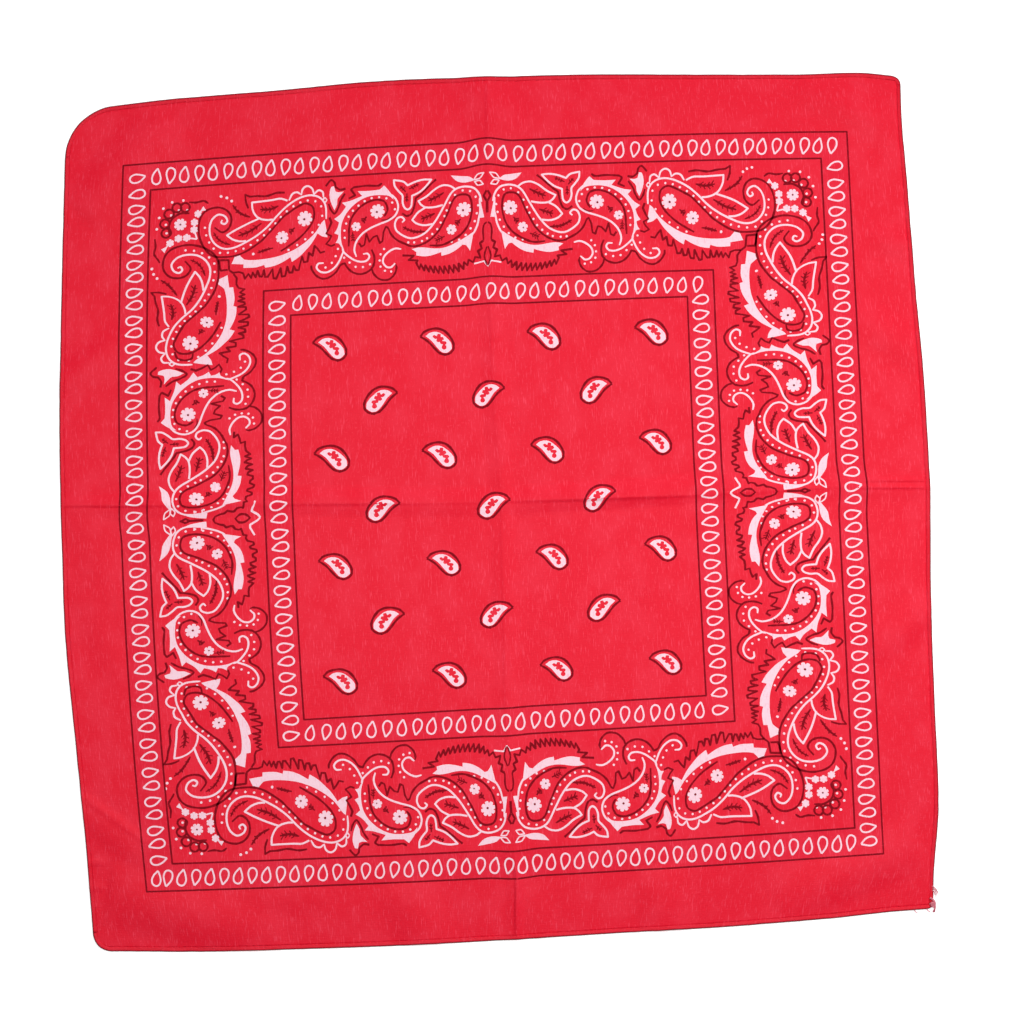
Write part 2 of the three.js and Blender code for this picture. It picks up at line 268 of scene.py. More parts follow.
@dataclass
class ClothForm:
    """Where each point of the flat cut square lies on the table, and how high.

    Attributes:
        wall: Thickness of the cloth's shell, in millimetres.
        fine: Pitch of the height grid over the quarter folds.
        medium: Its pitch at the creased bottom left corner.
        medium_to: Where that corner's stretch ends along u and along v.
        coarse: Its pitch elsewhere.
        fold_span: Stretch on each side of the upright quarter fold where the grid is fine.
        fold_low: Lower end of the fine stretch over the level quarter fold.
        fold_high: Its upper end.
    """

    wall: float = 0.5
    fine: float = 0.8
    medium: float = 2.0
    medium_to: Place = (-225.0, -160.0)
    coarse: float = 3.2
    fold_span: float = 10.0
    fold_low: float = -7.0
    fold_high: float = 23.0
    centre: Place = field(init=False, default=(0.0, 0.0))
    lines_u: Points = field(init=False)
    lines_v: Points = field(init=False)
    heights: Points = field(init=False)

    def __post_init__(self) -> None:
        """Centre the outline on the origin and fill the grid of heights."""
        edge = self.lay_out(self.cut_edge(0.0))
        low, high = edge.min(axis=0), edge.max(axis=0)
        self.centre = tuple((low + high) / 2)
        reach = HALF + 2
        self.lines_u = self.grid_lines(reach, self.medium_to[0], -self.fold_span, self.fold_span)
        self.lines_v = self.grid_lines(reach, self.medium_to[1], self.fold_low, self.fold_high)
        u, v = np.meshgrid(self.lines_u, self.lines_v)
        self.heights = self.lift(np.stack([u, v], axis=-1))

    def grid_lines(self, reach: float, corner_to: float, fold_from: float, fold_to: float) -> Points:
        """Places of the grid's lines from -reach to reach, closer over a fold and up to corner_to."""
        parts = []
        for start, end, pitch in (
            (-reach, corner_to, self.medium),
            (corner_to, fold_from, self.coarse),
            (fold_from, fold_to, self.fine),
            (fold_to, reach, self.coarse),
        ):
            parts.append(np.linspace(start, end, round((end - start) / pitch) + 1)[:-1])
        return np.append(np.concatenate(parts), reach)

    def lay_out(self, flat: Points) -> Points:
        """Carry flat points to the table.

        Args:
            flat: Points (u, v) on the flat cut square, in millimetres.

        Returns:
            Their places (x, y) as laid, in millimetres, from the middle of the laid outline.
        """
        u, v = flat[..., 0], flat[..., 1]
        half = np.maximum(np.maximum(np.abs(u), np.abs(v)), 1e-6)
        s, t = u / half, v / half
        halves = [square.half for square in LAID_SQUARES]

        def column(name: str, axis: int | None = None) -> Points:
            values = [getattr(square, name) for square in LAID_SQUARES]
            if axis is not None:
                values = [value[axis] for value in values]
            return np.interp(half, halves, values)

        laid = [
            (
                (1 - s) * ((1 - t) * column("bl", i) + (1 + t) * column("tl", i))
                + (1 + s) * ((1 - t) * column("br", i) + (1 + t) * column("tr", i))
            )
            / 4
            for i in range(2)
        ]
        edge = np.clip((half - halves[-2]) / (halves[-1] - halves[-2]), 0, None)
        amount = np.interp(half, PULL_PLACES, PULL_AMOUNTS)

        def bow(side: Side, name: str, along: Points, beside: Points) -> Points:
            pull = np.cos(np.clip(beside / PULL_REACH, -1, 1) * math.pi / 2) ** 2
            rim = edge * smooth_table(BOW_PLACES, EDGE_BOWS[side], along)
            return column(name) * (1 - along**2) + rim + FOLD_PULL[side] * amount * pull

        x = laid[0] + bow(Side.RIGHT, "right", t, v - LEVEL_FOLD_AT[Side.RIGHT]) * (1 + s) / 2
        x = x - bow(Side.LEFT, "left", t, v - LEVEL_FOLD_AT[Side.LEFT]) * (1 - s) / 2
        y = laid[1] + bow(Side.TOP, "top", s, u) * (1 + t) / 2
        y = y - bow(Side.BOTTOM, "bottom", s, u) * (1 - t) / 2
        return np.stack([x - self.centre[0], y - self.centre[1]], axis=-1)

    def lift(self, flat: Points) -> Points:
        """Height of the cloth's underside over the table, in millimetres, from its folds and creases."""
        total = np.zeros(flat.shape[:-1])
        for fold in FOLDS:
            right, taper = off_line(flat, fold)
            ridge = np.clip(1 - (right / fold.width) ** 2, 0, None) ** 2
            total += (fold.rise * taper * ridge) ** 2
        height = np.sqrt(total)
        for crease in CREASES:
            right, taper = off_line(flat, crease)
            share = np.where(right > 0, right / crease.steep, -right / crease.gentle)
            height += crease.rise * taper * np.clip(1 - share, 0, None) ** CREST_POWER
        return height

    def grid_height(self, flat: Points) -> Points:
        """Height of the underside read from the same grid that the cloth's faces follow."""
        u = np.clip(flat[..., 0], self.lines_u[0], self.lines_u[-1] - 1e-6)
        v = np.clip(flat[..., 1], self.lines_v[0], self.lines_v[-1] - 1e-6)
        i = np.searchsorted(self.lines_u, u, side="right") - 1
        j = np.searchsorted(self.lines_v, v, side="right") - 1
        f = (u - self.lines_u[i]) / (self.lines_u[i + 1] - self.lines_u[i])
        g = (v - self.lines_v[j]) / (self.lines_v[j + 1] - self.lines_v[j])
        h = self.heights
        low = h[j, i] * (1 - f) + h[j, i + 1] * f
        high = h[j + 1, i] * (1 - f) + h[j + 1, i + 1] * f
        return low * (1 - g) + high * g

    def place(self, flat: Points, height: Points | float) -> Points:
        """Points in the row frame, in metres, at a height in millimetres above the underside."""
        laid = self.lay_out(flat)
        z = self.grid_height(flat) + height
        return np.concatenate([laid, z[..., None]], axis=-1) * MM

    def cut_edge(self, inset: float, step: float = 2.5) -> Points:
        """Points round the cut edge, clockwise from the left end of the top side.

        Args:
            inset: Distance in from the cut edge.
            step: Largest distance between points.

        Returns:
            The closed ring's points, the first not repeated.
        """
        ring = []
        for turn, (name, signs) in enumerate(CORNERS.items()):
            radius = CORNER_RADIUS[name]
            angle = (2 - turn) * math.pi / 2 - np.linspace(0, math.pi / 2, arc_steps(name, step) + 1)
            deepest = radius * 0.98
            arm = radius - min(inset, deepest)
            centre = np.array(signs) * (HALF - radius)
            shift = np.array(signs) * max(0.0, inset - deepest)
            ring.append(centre - shift + arm * np.stack([np.cos(angle), np.sin(angle)], axis=-1))
        points = []
        for i, arc in enumerate(ring):
            points.append(arc)
            end, start = arc[-1], ring[(i + 1) % 4][0]
            count = max(1, math.ceil(np.hypot(*(start - end)) / step))
            points.append(end + (start - end) * np.linspace(0, 1, count + 1)[1:-1, None])
        return np.concatenate(points)


# Pens for the print


def spline(points: Run, closed: bool = False, fine: int = 12) -> Points:
    """A smooth curve through points, as many short steps.

    Args:
        points: The places that it passes through.
        closed: Whether it returns to its start.
        fine: Steps between two points.

    Returns:
        The curve's points.
    """
    p = np.asarray(points, float)
    if len(p) < 3 and not closed:
        return p
    if closed:
        p = np.vstack([p[-1], p, p[0], p[1]])
    else:
        p = np.vstack([2 * p[0] - p[1], p, 2 * p[-1] - p[-2]])
    f = np.linspace(0, 1, fine, endpoint=False)[:, None]
    out = []
    for a, b, c, d in zip(p[:-3], p[1:-2], p[2:-1], p[3:]):
        square, cube = 2 * a - 5 * b + 4 * c - d, 3 * b - a - 3 * c + d
        out.append(0.5 * (2 * b + (c - a) * f + square * f**2 + cube * f**3))
    curve = np.concatenate(out)
    return curve if closed else np.vstack([curve, p[-2]])


def thinned(curve: Points, angle: float = 0.2, length: float = 2.0) -> Points:
    """Drop points of a fine curve where it hardly turns.

    Args:
        curve: The fine curve.
        angle: Turn, in radians, after which a point is kept.
        length: Distance after which a point is kept.

    Returns:
        The kept points, both ends among them.
    """
    if len(curve) < 3:
        return curve
    keep, turn, run = [0], 0.0, 0.0
    steps = np.diff(curve, axis=0)
    sizes = np.maximum(np.hypot(steps[:, 0], steps[:, 1]), 1e-9)
    for i in range(1, len(curve) - 1):
        a, b = steps[i - 1] / sizes[i - 1], steps[i] / sizes[i]
        turn += abs(math.atan2(a[0] * b[1] - a[1] * b[0], float(a @ b)))
        run += sizes[i - 1]
        if turn > angle or run > length:
            keep.append(i)
            turn, run = 0.0, 0.0
    keep.append(len(curve) - 1)
    return curve[keep]


def spaced(curve: Points, count: int) -> Points:
    """Evenly spaced points along a curve, both ends among them."""
    sizes = np.hypot(*np.diff(curve, axis=0).T)
    total = np.concatenate([[0], np.cumsum(sizes)])
    at = np.linspace(0, total[-1], count)
    return np.stack([np.interp(at, total, curve[:, 0]), np.interp(at, total, curve[:, 1])], axis=-1)


def end_to_end(runs: tuple[Run, ...]) -> list[Run]:
    """Start each run after the first at the end of the one before."""
    return [runs[0], *((before[-1], *run) for before, run in zip(runs, runs[1:]))]


@dataclass
class Pen:
    """Draws flat shapes in one ink, in millimetres on the flat cloth, as simple polygons.

    Attributes:
        width: Width of its usual line.
        shapes: The inked polygons.
        holes: Polygons that are left free of ink.
        uneven: Share by which a stroke's width varies along it.
    """

    width: float = 1.2
    shapes: list[Points] = field(default_factory=list)
    holes: list[Points] = field(default_factory=list)
    uneven: float = 0.0

    # Bends, as sines, past which a stroke's joint is filled or rounded, and the half width that needs none
    SLIGHT_BEND = 0.08
    SHARP_BEND = 0.6
    NARROW = 0.15

    def bare(self, run: Run) -> None:
        """Leave the shape inside a smooth closed run free of ink."""
        self.holes.append(thinned(spline(run, True), 0.25))

    def polygon(self, points: Points) -> None:
        """Add one simple polygon, turned anticlockwise."""
        x, y = points[:, 0], points[:, 1]
        area = float(np.sum(x * np.roll(y, -1) - y * np.roll(x, -1))) / 2
        if abs(area) > 1e-4:
            self.shapes.append(points if area > 0 else points[::-1])

    def disc(self, centre: Points, radius: float, sides: int = 8) -> None:
        """Add a small disc."""
        angle = np.arange(sides) * (2 * math.pi / sides) + 0.2
        self.polygon(np.asarray(centre) + radius * np.stack([np.cos(angle), np.sin(angle)], axis=-1))

    def ribbon(self, curve: Points, width: float, closed: bool = False, taper: float = 1.0) -> None:
        """Add a stroke along a curve.

        Args:
            curve: The stroke's middle line.
            width: Its width.
            closed: Whether the line returns to its start.
            taper: Share of the width that is left at both ends.
        """
        if closed:
            curve = np.vstack([curve, curve[:1]])
        steps = np.diff(curve, axis=0)
        sizes = np.hypot(steps[:, 0], steps[:, 1])
        keep = np.append(sizes > 1e-6, True)
        curve = curve[keep]
        steps = np.diff(curve, axis=0)
        if len(steps) == 0:
            return
        sizes = np.hypot(steps[:, 0], steps[:, 1])
        total = np.concatenate([[0], np.cumsum(sizes)])
        ends = np.minimum(total, total[-1] - total) / max(width * 2, 1e-6)
        share = np.ones(len(curve)) if closed else np.clip(taper + (1 - taper) * ends, 0, 1)
        wobble = np.sin(1.9 * total + curve[0, 0]) * (1 + 0.5 * np.sin(0.7 * total))
        half = width / 2 * share * (1 + self.uneven * wobble)
        unit = steps / sizes[:, None]
        across = np.stack([-unit[:, 1], unit[:, 0]], axis=-1)
        for i, side in enumerate(across):
            a, b, wide_a, wide_b = curve[i], curve[i + 1], side * half[i], side * half[i + 1]
            self.polygon(np.array([a - wide_a, b - wide_b, b + wide_b, a + wide_a]))
        joints = range(len(across)) if closed else range(1, len(across))
        for i in joints:
            bend = float(unit[i - 1][0] * unit[i][1] - unit[i - 1][1] * unit[i][0])
            if abs(bend) < self.SLIGHT_BEND or half[i] < self.NARROW:
                continue
            if abs(bend) > self.SHARP_BEND or float(unit[i - 1] @ unit[i]) < 0:
                self.disc(curve[i], half[i])
            else:
                reach = -math.copysign(half[i], bend)
                self.polygon(curve[i] + np.array([(0, 0), reach * across[i - 1], reach * across[i]]))

    def line(
        self, *runs: Run, width: float | None = None, closed: bool = False, taper: float = 0.7
    ) -> None:
        """Stroke smooth runs, each from the end of the one before, that meet at sharp corners."""
        runs = end_to_end(runs)
        width = width or self.width
        for run in runs:
            whole = closed and len(runs) == 1
            curve = thinned(spline(run, whole))
            self.ribbon(curve, width, whole, 1.0 if len(runs) > 1 or closed else taper)
        if len(runs) > 1:
            ends = [run[-1] for run in (runs if closed else runs[:-1])]
            for end in ends:
                self.disc(np.array(end, float), width / 2)

    def angular(self, points: Run, width: float | None = None) -> None:
        """Stroke straight lines from point to point."""
        self.ribbon(np.asarray(points, float), width or self.width)

    def fill(self, *runs: Run) -> None:
        """Fill the shape inside smooth runs, each from the end of the one before."""
        parts = [thinned(spline(run, len(runs) == 1), 0.25) for run in end_to_end(runs)]
        if len(runs) == 1:
            self.polygon(parts[0])
        else:
            self.polygon(np.concatenate([part[:-1] for part in parts]))

    def dots(self, points: Run, radius: float = 0.75) -> None:
        """Add a round dot at each point."""
        for point in points:
            self.disc(np.array(point, float), radius, 9)

    def dots_along(self, run: Run, count: int) -> None:
        """Add evenly spaced dots along a smooth run."""
        self.dots(spaced(spline(run), count))

    def flower(self, centre: Place, radius: float, petals: int, turn: float = 0.0) -> None:
        """Add a flower whose square-ended petals meet in shallow notches."""
        angles, radii = [], []
        for i in range(petals):
            middle = turn + i * 2 * math.pi / petals
            spread = 0.30 * 2 * math.pi / petals
            angles += [middle - spread, middle, middle + spread, middle + math.pi / petals]
            radii += [radius * 0.96, radius, radius * 0.96, radius * 0.7]
        a, r = np.array(angles), np.array(radii)
        self.polygon(np.array(centre) + np.stack([r * np.cos(a), r * np.sin(a)], axis=-1))

    def zigzag(self, low: Run, high: Run, teeth: int, width: float, lead: Run = (), tail: Run = ()) -> None:
        """Stroke a zigzag between two smooth runs.

        Args:
            low: The run through the inner points.
            high: The run through the outer points.
            teeth: How many inner points there are.
            width: The line's width.
            lead: Points that the stroke comes from.
            tail: Points that it goes on to.
        """
        inner = spaced(spline(low), teeth)
        outer = spaced(spline(high), teeth)
        path = np.stack([inner, outer], axis=1).reshape(-1, 2)
        self.ribbon(np.array([*lead, *path, *tail]), width)

    def sprig(self, run: Run, barbs: int, length: float = 2.3, width: float = 1.4) -> None:
        """Stroke a vein with short barbs on both sides.

        Args:
            run: The vein's smooth run, from root to tip.
            barbs: Pairs of barbs.
            length: Each barb's length.
            width: The vein's width.
        """
        curve = spline(run)
        self.ribbon(thinned(curve), width, taper=0.5)
        at = spaced(curve, barbs + 2)
        for i in range(1, barbs + 1):
            ahead = at[i + 1] - at[i - 1]
            ahead /= np.hypot(*ahead)
            for side in (-1, 1):
                out = np.array([-ahead[1], ahead[0]]) * side
                tip = at[i] + (0.75 * ahead + 0.85 * out) * length * (0.8 + 0.2 * ((i * 7 + side) % 3))
                self.ribbon(np.array([at[i], tip]), width * 0.75, taper=0.6)


# The border's motifs, charted on the top side: (along, outward) from the middle of the cloth


@dataclass
class Chart:
    """One repeat of the print, drawn with a pen for each ink, in millimetres on the flat cloth.

    Attributes:
        upright: Whether it is drawn as on the left and right sides.
        jagged: Width of the dark jagged lines.
        white: The pen with the white ink.
        dark: The pen with the dark ink, whose lines are uneven.
    """

    upright: bool = False
    jagged: float = 1.3
    white: Pen = field(default_factory=Pen)
    dark: Pen = field(default_factory=lambda: Pen(1.25, uneven=0.16))

    def bloom(self, centre: Place, radius: float, petals: int, turn: float = 0.2) -> None:
        """A white flower with a small dark eye."""
        self.white.flower(centre, radius, petals, turn)
        self.dark.disc(np.array(centre), 0.16 * radius, 7)

    def leaf(self, *runs: Run, vein: Run, barbs: int = 3) -> None:
        """An open white leaf outline with a barbed dark vein."""
        self.white.line(*runs)
        self.dark.sprig(vein, barbs)

    def loop(self, root: Place, tip: Place, width: float) -> None:
        """A small open leaf from root to tip with a dark heart."""
        a, b = np.array(root), np.array(tip)
        across = np.array([a[1] - b[1], b[0] - a[0]]) / np.hypot(*(b - a)) * width / 2
        middle = (a + b) / 2
        ring = (tuple(a), tuple(middle + across), tuple(b))
        back = (tuple(middle - across), tuple(a))
        self.white.line(ring, back, width=0.85, closed=True)
        self.dark.disc(middle, 0.45, 6)


class BorderHalf(Chart):
    """Half of one side's border, from the side's middle to its corner."""

    def draw(self) -> None:
        """Draw each motif in turn, from the middle outwards."""
        self.draw_middle()
        self.draw_first_paisley()
        self.draw_trefoil_and_hook()
        self.draw_second_paisley()
        self.draw_bud()
        self.draw_third_paisley()

    def draw_middle(self) -> None:
        """The half of the middle ornament that lies on this side of it."""
        dark, white = self.dark, self.white
        dark.angular(((0, 201.1), (1.8, 197.9), (0, 194.8)))
        dark.angular(((0, 194.8), (0, 187.5)), 0.9)
        if self.upright:
            flame = ((0, 181.8), (2.2, 180.8), (3.4, 178), (3.8, 175.6), (5.2, 174), (4.4, 171.2),
                (4.6, 170), (6.3, 168.6), (6.7, 166.4), (6.2, 165.2), (8.6, 164.2), (10.6, 163.6),
                (11, 161.6), (13.2, 161.9))
            teeth = ((15.3, 160.7), (16.6, 157), (18.5, 156.5), (20, 158.8), (21.2, 158.2), (22.2, 154.8),
                (23.6, 154.3), (25, 157), (26.5, 156.6), (27.6, 154.9), (29.3, 154.8), (30.4, 158.2),
                (31.9, 157.6), (33.2, 154.8), (34.4, 158.9), (36, 157.8), (36.8, 154.8), (38.4, 159.4),
                (39.6, 158), (40.6, 155.2), (42.2, 159), (43.4, 155.9), (45.8, 158.4), (48.6, 158.8),
                (51.6, 158.6), (50.8, 161.4), (54, 162), (56.6, 163), (54.8, 165.4), (58.6, 165.2))
            dark.angular((*flame, *teeth), self.jagged)
            dark.line(((0, 169.3), (2.3, 167), (2.6, 164.3), (1.6, 162), (0, 160.4)))
            white.angular(((0, 154.4), (1.6, 156), (3.7, 160.1), (5.2, 159.9), (10.9, 156.7)), 1.15)
        else:
            dark.line(((0, 181.6), (1.9, 180.2), (2.7, 176.5), (2.4, 172.6), (2.4, 170.6)))
            flame = ((2.4, 170.6), (5.0, 169.3), (3.8, 165.8), (6.4, 164.6), (4.9, 160.2), (8.2, 161),
                (9.4, 157.6), (12, 159.5))
            dark.zigzag(((12.8, 155.9), (18.4, 151.6), (29.4, 150.9), (37.4, 152.5), (44, 154.4)),
                ((14.8, 158.0), (21, 155.9), (31.6, 155.4), (40.1, 156.6), (46, 158.6)),
                11, self.jagged, flame, ((45, 160), (51, 160.6), (47.5, 163.2), (55, 163.7)))
            dark.line(((0, 166.6), (2.0, 161), (0, 154.9)))
            white.angular(((0, 154), (2.8, 157.4), (9.3, 156.3)), 0.95)

    def draw_first_paisley(self) -> None:
        """The paisley beside the middle, its leaves, and the leafy bird above it."""
        dark, white = self.dark, self.white
        if self.upright:
            white.fill(((8.3, 206.8), (12, 209.6), (15.5, 211.5), (20, 211.8), (24.8, 213)), ((22.5, 210),
                (20, 207.8), (16, 206.5), (11.5, 206.2), (8.3, 205.4)))
            self.loop((9.2, 206.6), (2, 210.8), 3.2)
            self.loop((9.6, 205.8), (3.9, 204.9), 2.9)
            white.fill(((5.6, 200.6), (2.9, 196), (1.6, 190.6), (1.0, 185.8)), ((4.6, 185.4),),
                ((4.9, 190), (4.7, 195), (5.6, 200.6)))
            white.line(((4.8, 189), (5.6, 184.6), (7.2, 179), (9.4, 174.6)))
            for dash in (((5, 192.9), (6.9, 192.9)), ((5.2, 188.4), (7, 188.4))):
                white.line(dash, width=1.1)
        else:
            white.fill(((7.6, 208.2), (11, 211), (15.5, 211.9), (23, 212.6)), ((19.5, 209), (14, 207.6),
                (7.6, 208.2)))
            self.loop((8.2, 208.6), (1.9, 212), 3.0)
            self.loop((7.8, 207.4), (2.4, 204.8), 3.0)
            white.fill(((4.8, 197), (3.4, 190.4), (2.1, 184.3)), ((5.9, 184.4),), ((5.3, 189),
                (5.4, 195.6), (4.8, 197)))
            white.line(((5.3, 187), (6.4, 181.3), (8.1, 177.3), (9.8, 174.6)))
        white.line(((3.6, 194), (5, 199.2), (8, 203.1), (12, 204.8), (16, 205.1), (20, 203.8),
            (23.6, 200.6), (28, 193), (34, 183.5), (41, 176.6), (50, 174.1), (58, 178.3), (60.1, 183),
            (58.7, 187.1), (55.9, 188.1), (54.0, 186.2), (55.4, 184.6)))
        white.fill(((9.2, 176.3), (10.2, 171), (11.5, 164.6)), ((13.6, 168), (15.8, 168.7)), ((20, 165),
            (24.6, 162.8), (29.5, 161.8)), ((29.7, 164.2),), ((36, 162.5), (41, 162), (46.4, 162.9)),
            ((46.2, 165),), ((49.4, 167.1),), ((45, 167.9), (40, 167.6), (34, 166.7), (28, 166.9),
            (22, 168.7), (17, 171.5), (12.5, 174.3), (9.2, 176.3)))
        dark.line(((37, 169.3), (30, 168.9), (25, 170.3), (19, 173.4), (14.6, 177.4), (11.6, 182),
            (10, 187), (9.4, 192), (10, 197), (12, 200), (16, 200.7), (19.5, 199.4), (22, 196), (24, 191),
            (27, 185), (30, 179.5), (34, 175), (39, 171.5), (45, 169.4), (50, 169.6), (53, 171),
            (58, 173.5), (62, 177.5), (64, 182)))
        white.dots(((7.3, 197.8), (10.8, 201.8), (15.6, 202.8), (20.5, 200), (23.8, 195.2), (26, 190.5),
            (27.5, 187), (30, 183), (32.3, 179), (35.6, 176), (39.1, 173.5), (42.5, 171.9), (47.7, 171.3),
            (51.6, 171.5)))
        white.dots_along(((5.9, 192.3), (6.9, 187.4), (8.2, 183), (10.6, 179), (14, 174.6), (18.6, 171.3),
            (22.6, 170.4)), 7)
        self.bloom((15, 190.7), 4.7, 8)
        self.bloom((22.8, 178.2), 3.4, 6)
        dark.sprig(((16.6, 185.2), (19.4, 181.8)), 2, 1.9, 1.9)
        dark.sprig(((27, 174.6), (33, 172)), 3)
        dark.sprig(((40, 178.2), (48, 178.8), (54.5, 182)), 6, 1.3)
        self.leaf(((20.6, 203.9), (24, 206.1), (29, 206.6), (34, 204.3), (39, 200.5), (44.7, 197.6)),
            ((42.8, 195), (39.6, 193.2), (34, 193.1), (28.6, 194.1)), vein=((27.5, 202.4), (32, 200),
            (38, 197.6)))
        self.leaf(((39.8, 193.3), (45, 190.4), (48.9, 185.8)), ((46, 183.3), (41, 181.9), (35.4, 182.4)),
            vein=((33.5, 189.4), (38, 187.8), (42.5, 186.4)))

    def draw_trefoil_and_hook(self) -> None:
        """The three-lobed leaf under the border's edge and the hooked scroll below it."""
        dark, white = self.dark, self.white
        white.line(((36, 210.8), (41, 211.2), (46.5, 210.2), (51.6, 208.2)), ((54.5, 210.9),
            (60.2, 212.2)), ((59.8, 208.4), (57.6, 205), (55, 201.8), (55, 197.4), (53.8, 194),
            (51.6, 192.7), (49.4, 195), (48.9, 201.3)), ((44.5, 203), (40.2, 206.2), (36, 210.8)),
            closed=True)
        dark.sprig(((50.3, 206.2), (44, 208.9)), 3, 1.3)
        dark.sprig(((52.6, 204.6), (55.8, 208.4)), 2, 1.3)
        dark.sprig(((51.8, 203.4), (51.9, 198)), 2, 1.3)
        dark.line(((32.4, 211.2), (37, 207.4), (42, 202.8), (46, 200)), ((47.2, 194.2), (49, 190.3),
            (52, 189), (55, 190.8)))
        white.line(((56.2, 167.4), (60, 168), (64, 166.3), (67.4, 163), (68.1, 159.3), (66, 156.4),
            (63, 156), (60.3, 158.4)))
        white.dots_along(((67.3, 168), (69.4, 165.2), (70.3, 160.8), (69.6, 156), (67.3, 154),
            (63, 153.2)), 6)
        dark.line(((59.6, 158.2), (59, 156), (60.4, 151.8), (64.4, 148.5), (70, 148.9), (74, 152.6),
            (75.4, 157)))
        dark.line(((75, 168.4), (73.4, 164.4), (73.4, 160), (75, 156.2), (79, 153.5), (83.5, 152.8),
            (88, 154.4), (91, 157.5), (92.6, 160.4)), ((95.4, 159.3), (98, 155.4), (102.5, 152.2),
            (107, 151.6), (111, 154), (113.6, 158), (114, 160.8)))
        dark.angular(((64, 182), (65.4, 183), (67, 179.4), (67.8, 173.4), (69.6, 172.6), (71.2, 177.4),
            (73.6, 176.6), (76.2, 173.6), (78, 179), (79.4, 171.8), (81.4, 170.8), (83, 173.2)))

    def draw_second_paisley(self) -> None:
        """The paisley with a saw-toothed crest and two curled tails."""
        dark, white = self.dark, self.white
        white.line(((62.2, 203.2), (59, 199.5), (57.8, 194.5), (59.6, 189.6), (64, 186.4), (70, 184.4),
            (76, 182), (81, 178.8), (84.9, 174), (86.5, 168.5), (85.3, 163.8)))
        white.fill(((60.6, 199.6), (63.5, 202.3), (68, 203.2), (74, 203.3), (80, 201.8), (86, 198),
            (91, 192.5), (94, 186.5), (94.9, 180), (94.6, 174), (92.9, 168.2)), ((94.6, 170.4),
            (96.2, 173.2), (98.5, 173.9)), ((97, 176.2), (96.4, 179)), ((99.1, 180.3),), ((97, 183.4),
            (95.8, 187.2)), ((98.9, 189.6),), ((94.6, 192.6), (90.8, 197.4)), ((93.4, 200),),
            ((87.5, 201.1), (80.4, 203.6)), ((83.2, 206.9),), ((76, 206.5), (69.2, 206.8)),
            ((66.4, 209.2),), ((64, 206.3), (61.6, 202.6), (60.6, 199.6)))
        white.line(((94.2, 170), (93.4, 167.4), (90, 164), (86, 161.3), (82, 160.3), (78.6, 161),
            (76.9, 163.4), (78, 165.5), (80.9, 165.4)))
        white.line(((93.4, 168.4), (94.8, 165), (96.8, 161), (100, 157.3), (104.4, 155.1), (108.6, 155.8),
            (111, 158.6), (109.8, 161.2), (106.4, 161.3)))
        white.dots_along(((59.9, 193.4), (61, 197), (64, 200.2), (68, 201.8), (72.8, 201.9), (77, 201),
            (81.4, 198.6), (85.2, 195.4), (88.4, 192.4), (91.2, 186), (92.5, 181), (92.4, 176.8)), 12)
        white.dots_along(((97, 169.8), (98.4, 165.6), (101, 161.2), (105.3, 158.3)), 4)
        white.dots_along(((93.2, 163.7), (88.9, 159.3), (85, 156.8), (81, 156.9), (76.6, 158.4)), 5)
        dark.line(((66.4, 189.6), (64.2, 193.6), (65, 197.6), (67.2, 200), (72, 200.8), (77.6, 199.2),
            (82.8, 195.6), (87, 190.2), (88.8, 184), (89.2, 177.4), (89.6, 171.4)))
        self.bloom((71, 192.8), 4.7, 8)
        self.bloom((84.8, 183.7), 3.1, 6)
        dark.sprig(((77.6, 190.2), (80.2, 186.8)), 2, 1.8, 1.8)
        dark.sprig(((86.8, 180.6), (86.6, 174.6)), 3, 1.5, 1.3)
        dark.line(((61.8, 189.2), (65, 187.3), (68.4, 187.4)), width=0.7)
        dark.angular(((101.6, 191.2), (100.4, 188), (102, 184.2), (104, 180.8), (100.6, 179),
            (102, 176.4), (104.2, 174), (101, 172.4), (98.4, 173.3)))
        dark.line(((67.4, 211.2), (70, 209.8), (77, 210.4), (85, 210)), ((86.6, 208.4), (84.4, 204.8)),
            ((88.4, 203),))

    def draw_bud(self) -> None:
        """The small trefoil bud between the second and third paisleys."""
        dark, white = self.dark, self.white
        white.fill(((92, 207.4), (95.4, 206.9), (97.6, 207.6)), ((98.5, 211),), ((100.6, 210.2),
            (101.7, 205.2), (100.6, 200), (98.6, 195.4)), ((96.8, 199), (96.2, 203), (92, 207.4)))
        dark.line(((90.4, 209.6), (94, 209), (97, 210.8)), ((97.8, 214), (100.2, 215.3), (103.6, 211.6)))
        dark.line(((90.8, 206.4), (93.8, 202), (95.4, 197.6), (98, 193.6), (100.6, 196.2), (102, 200.2)))

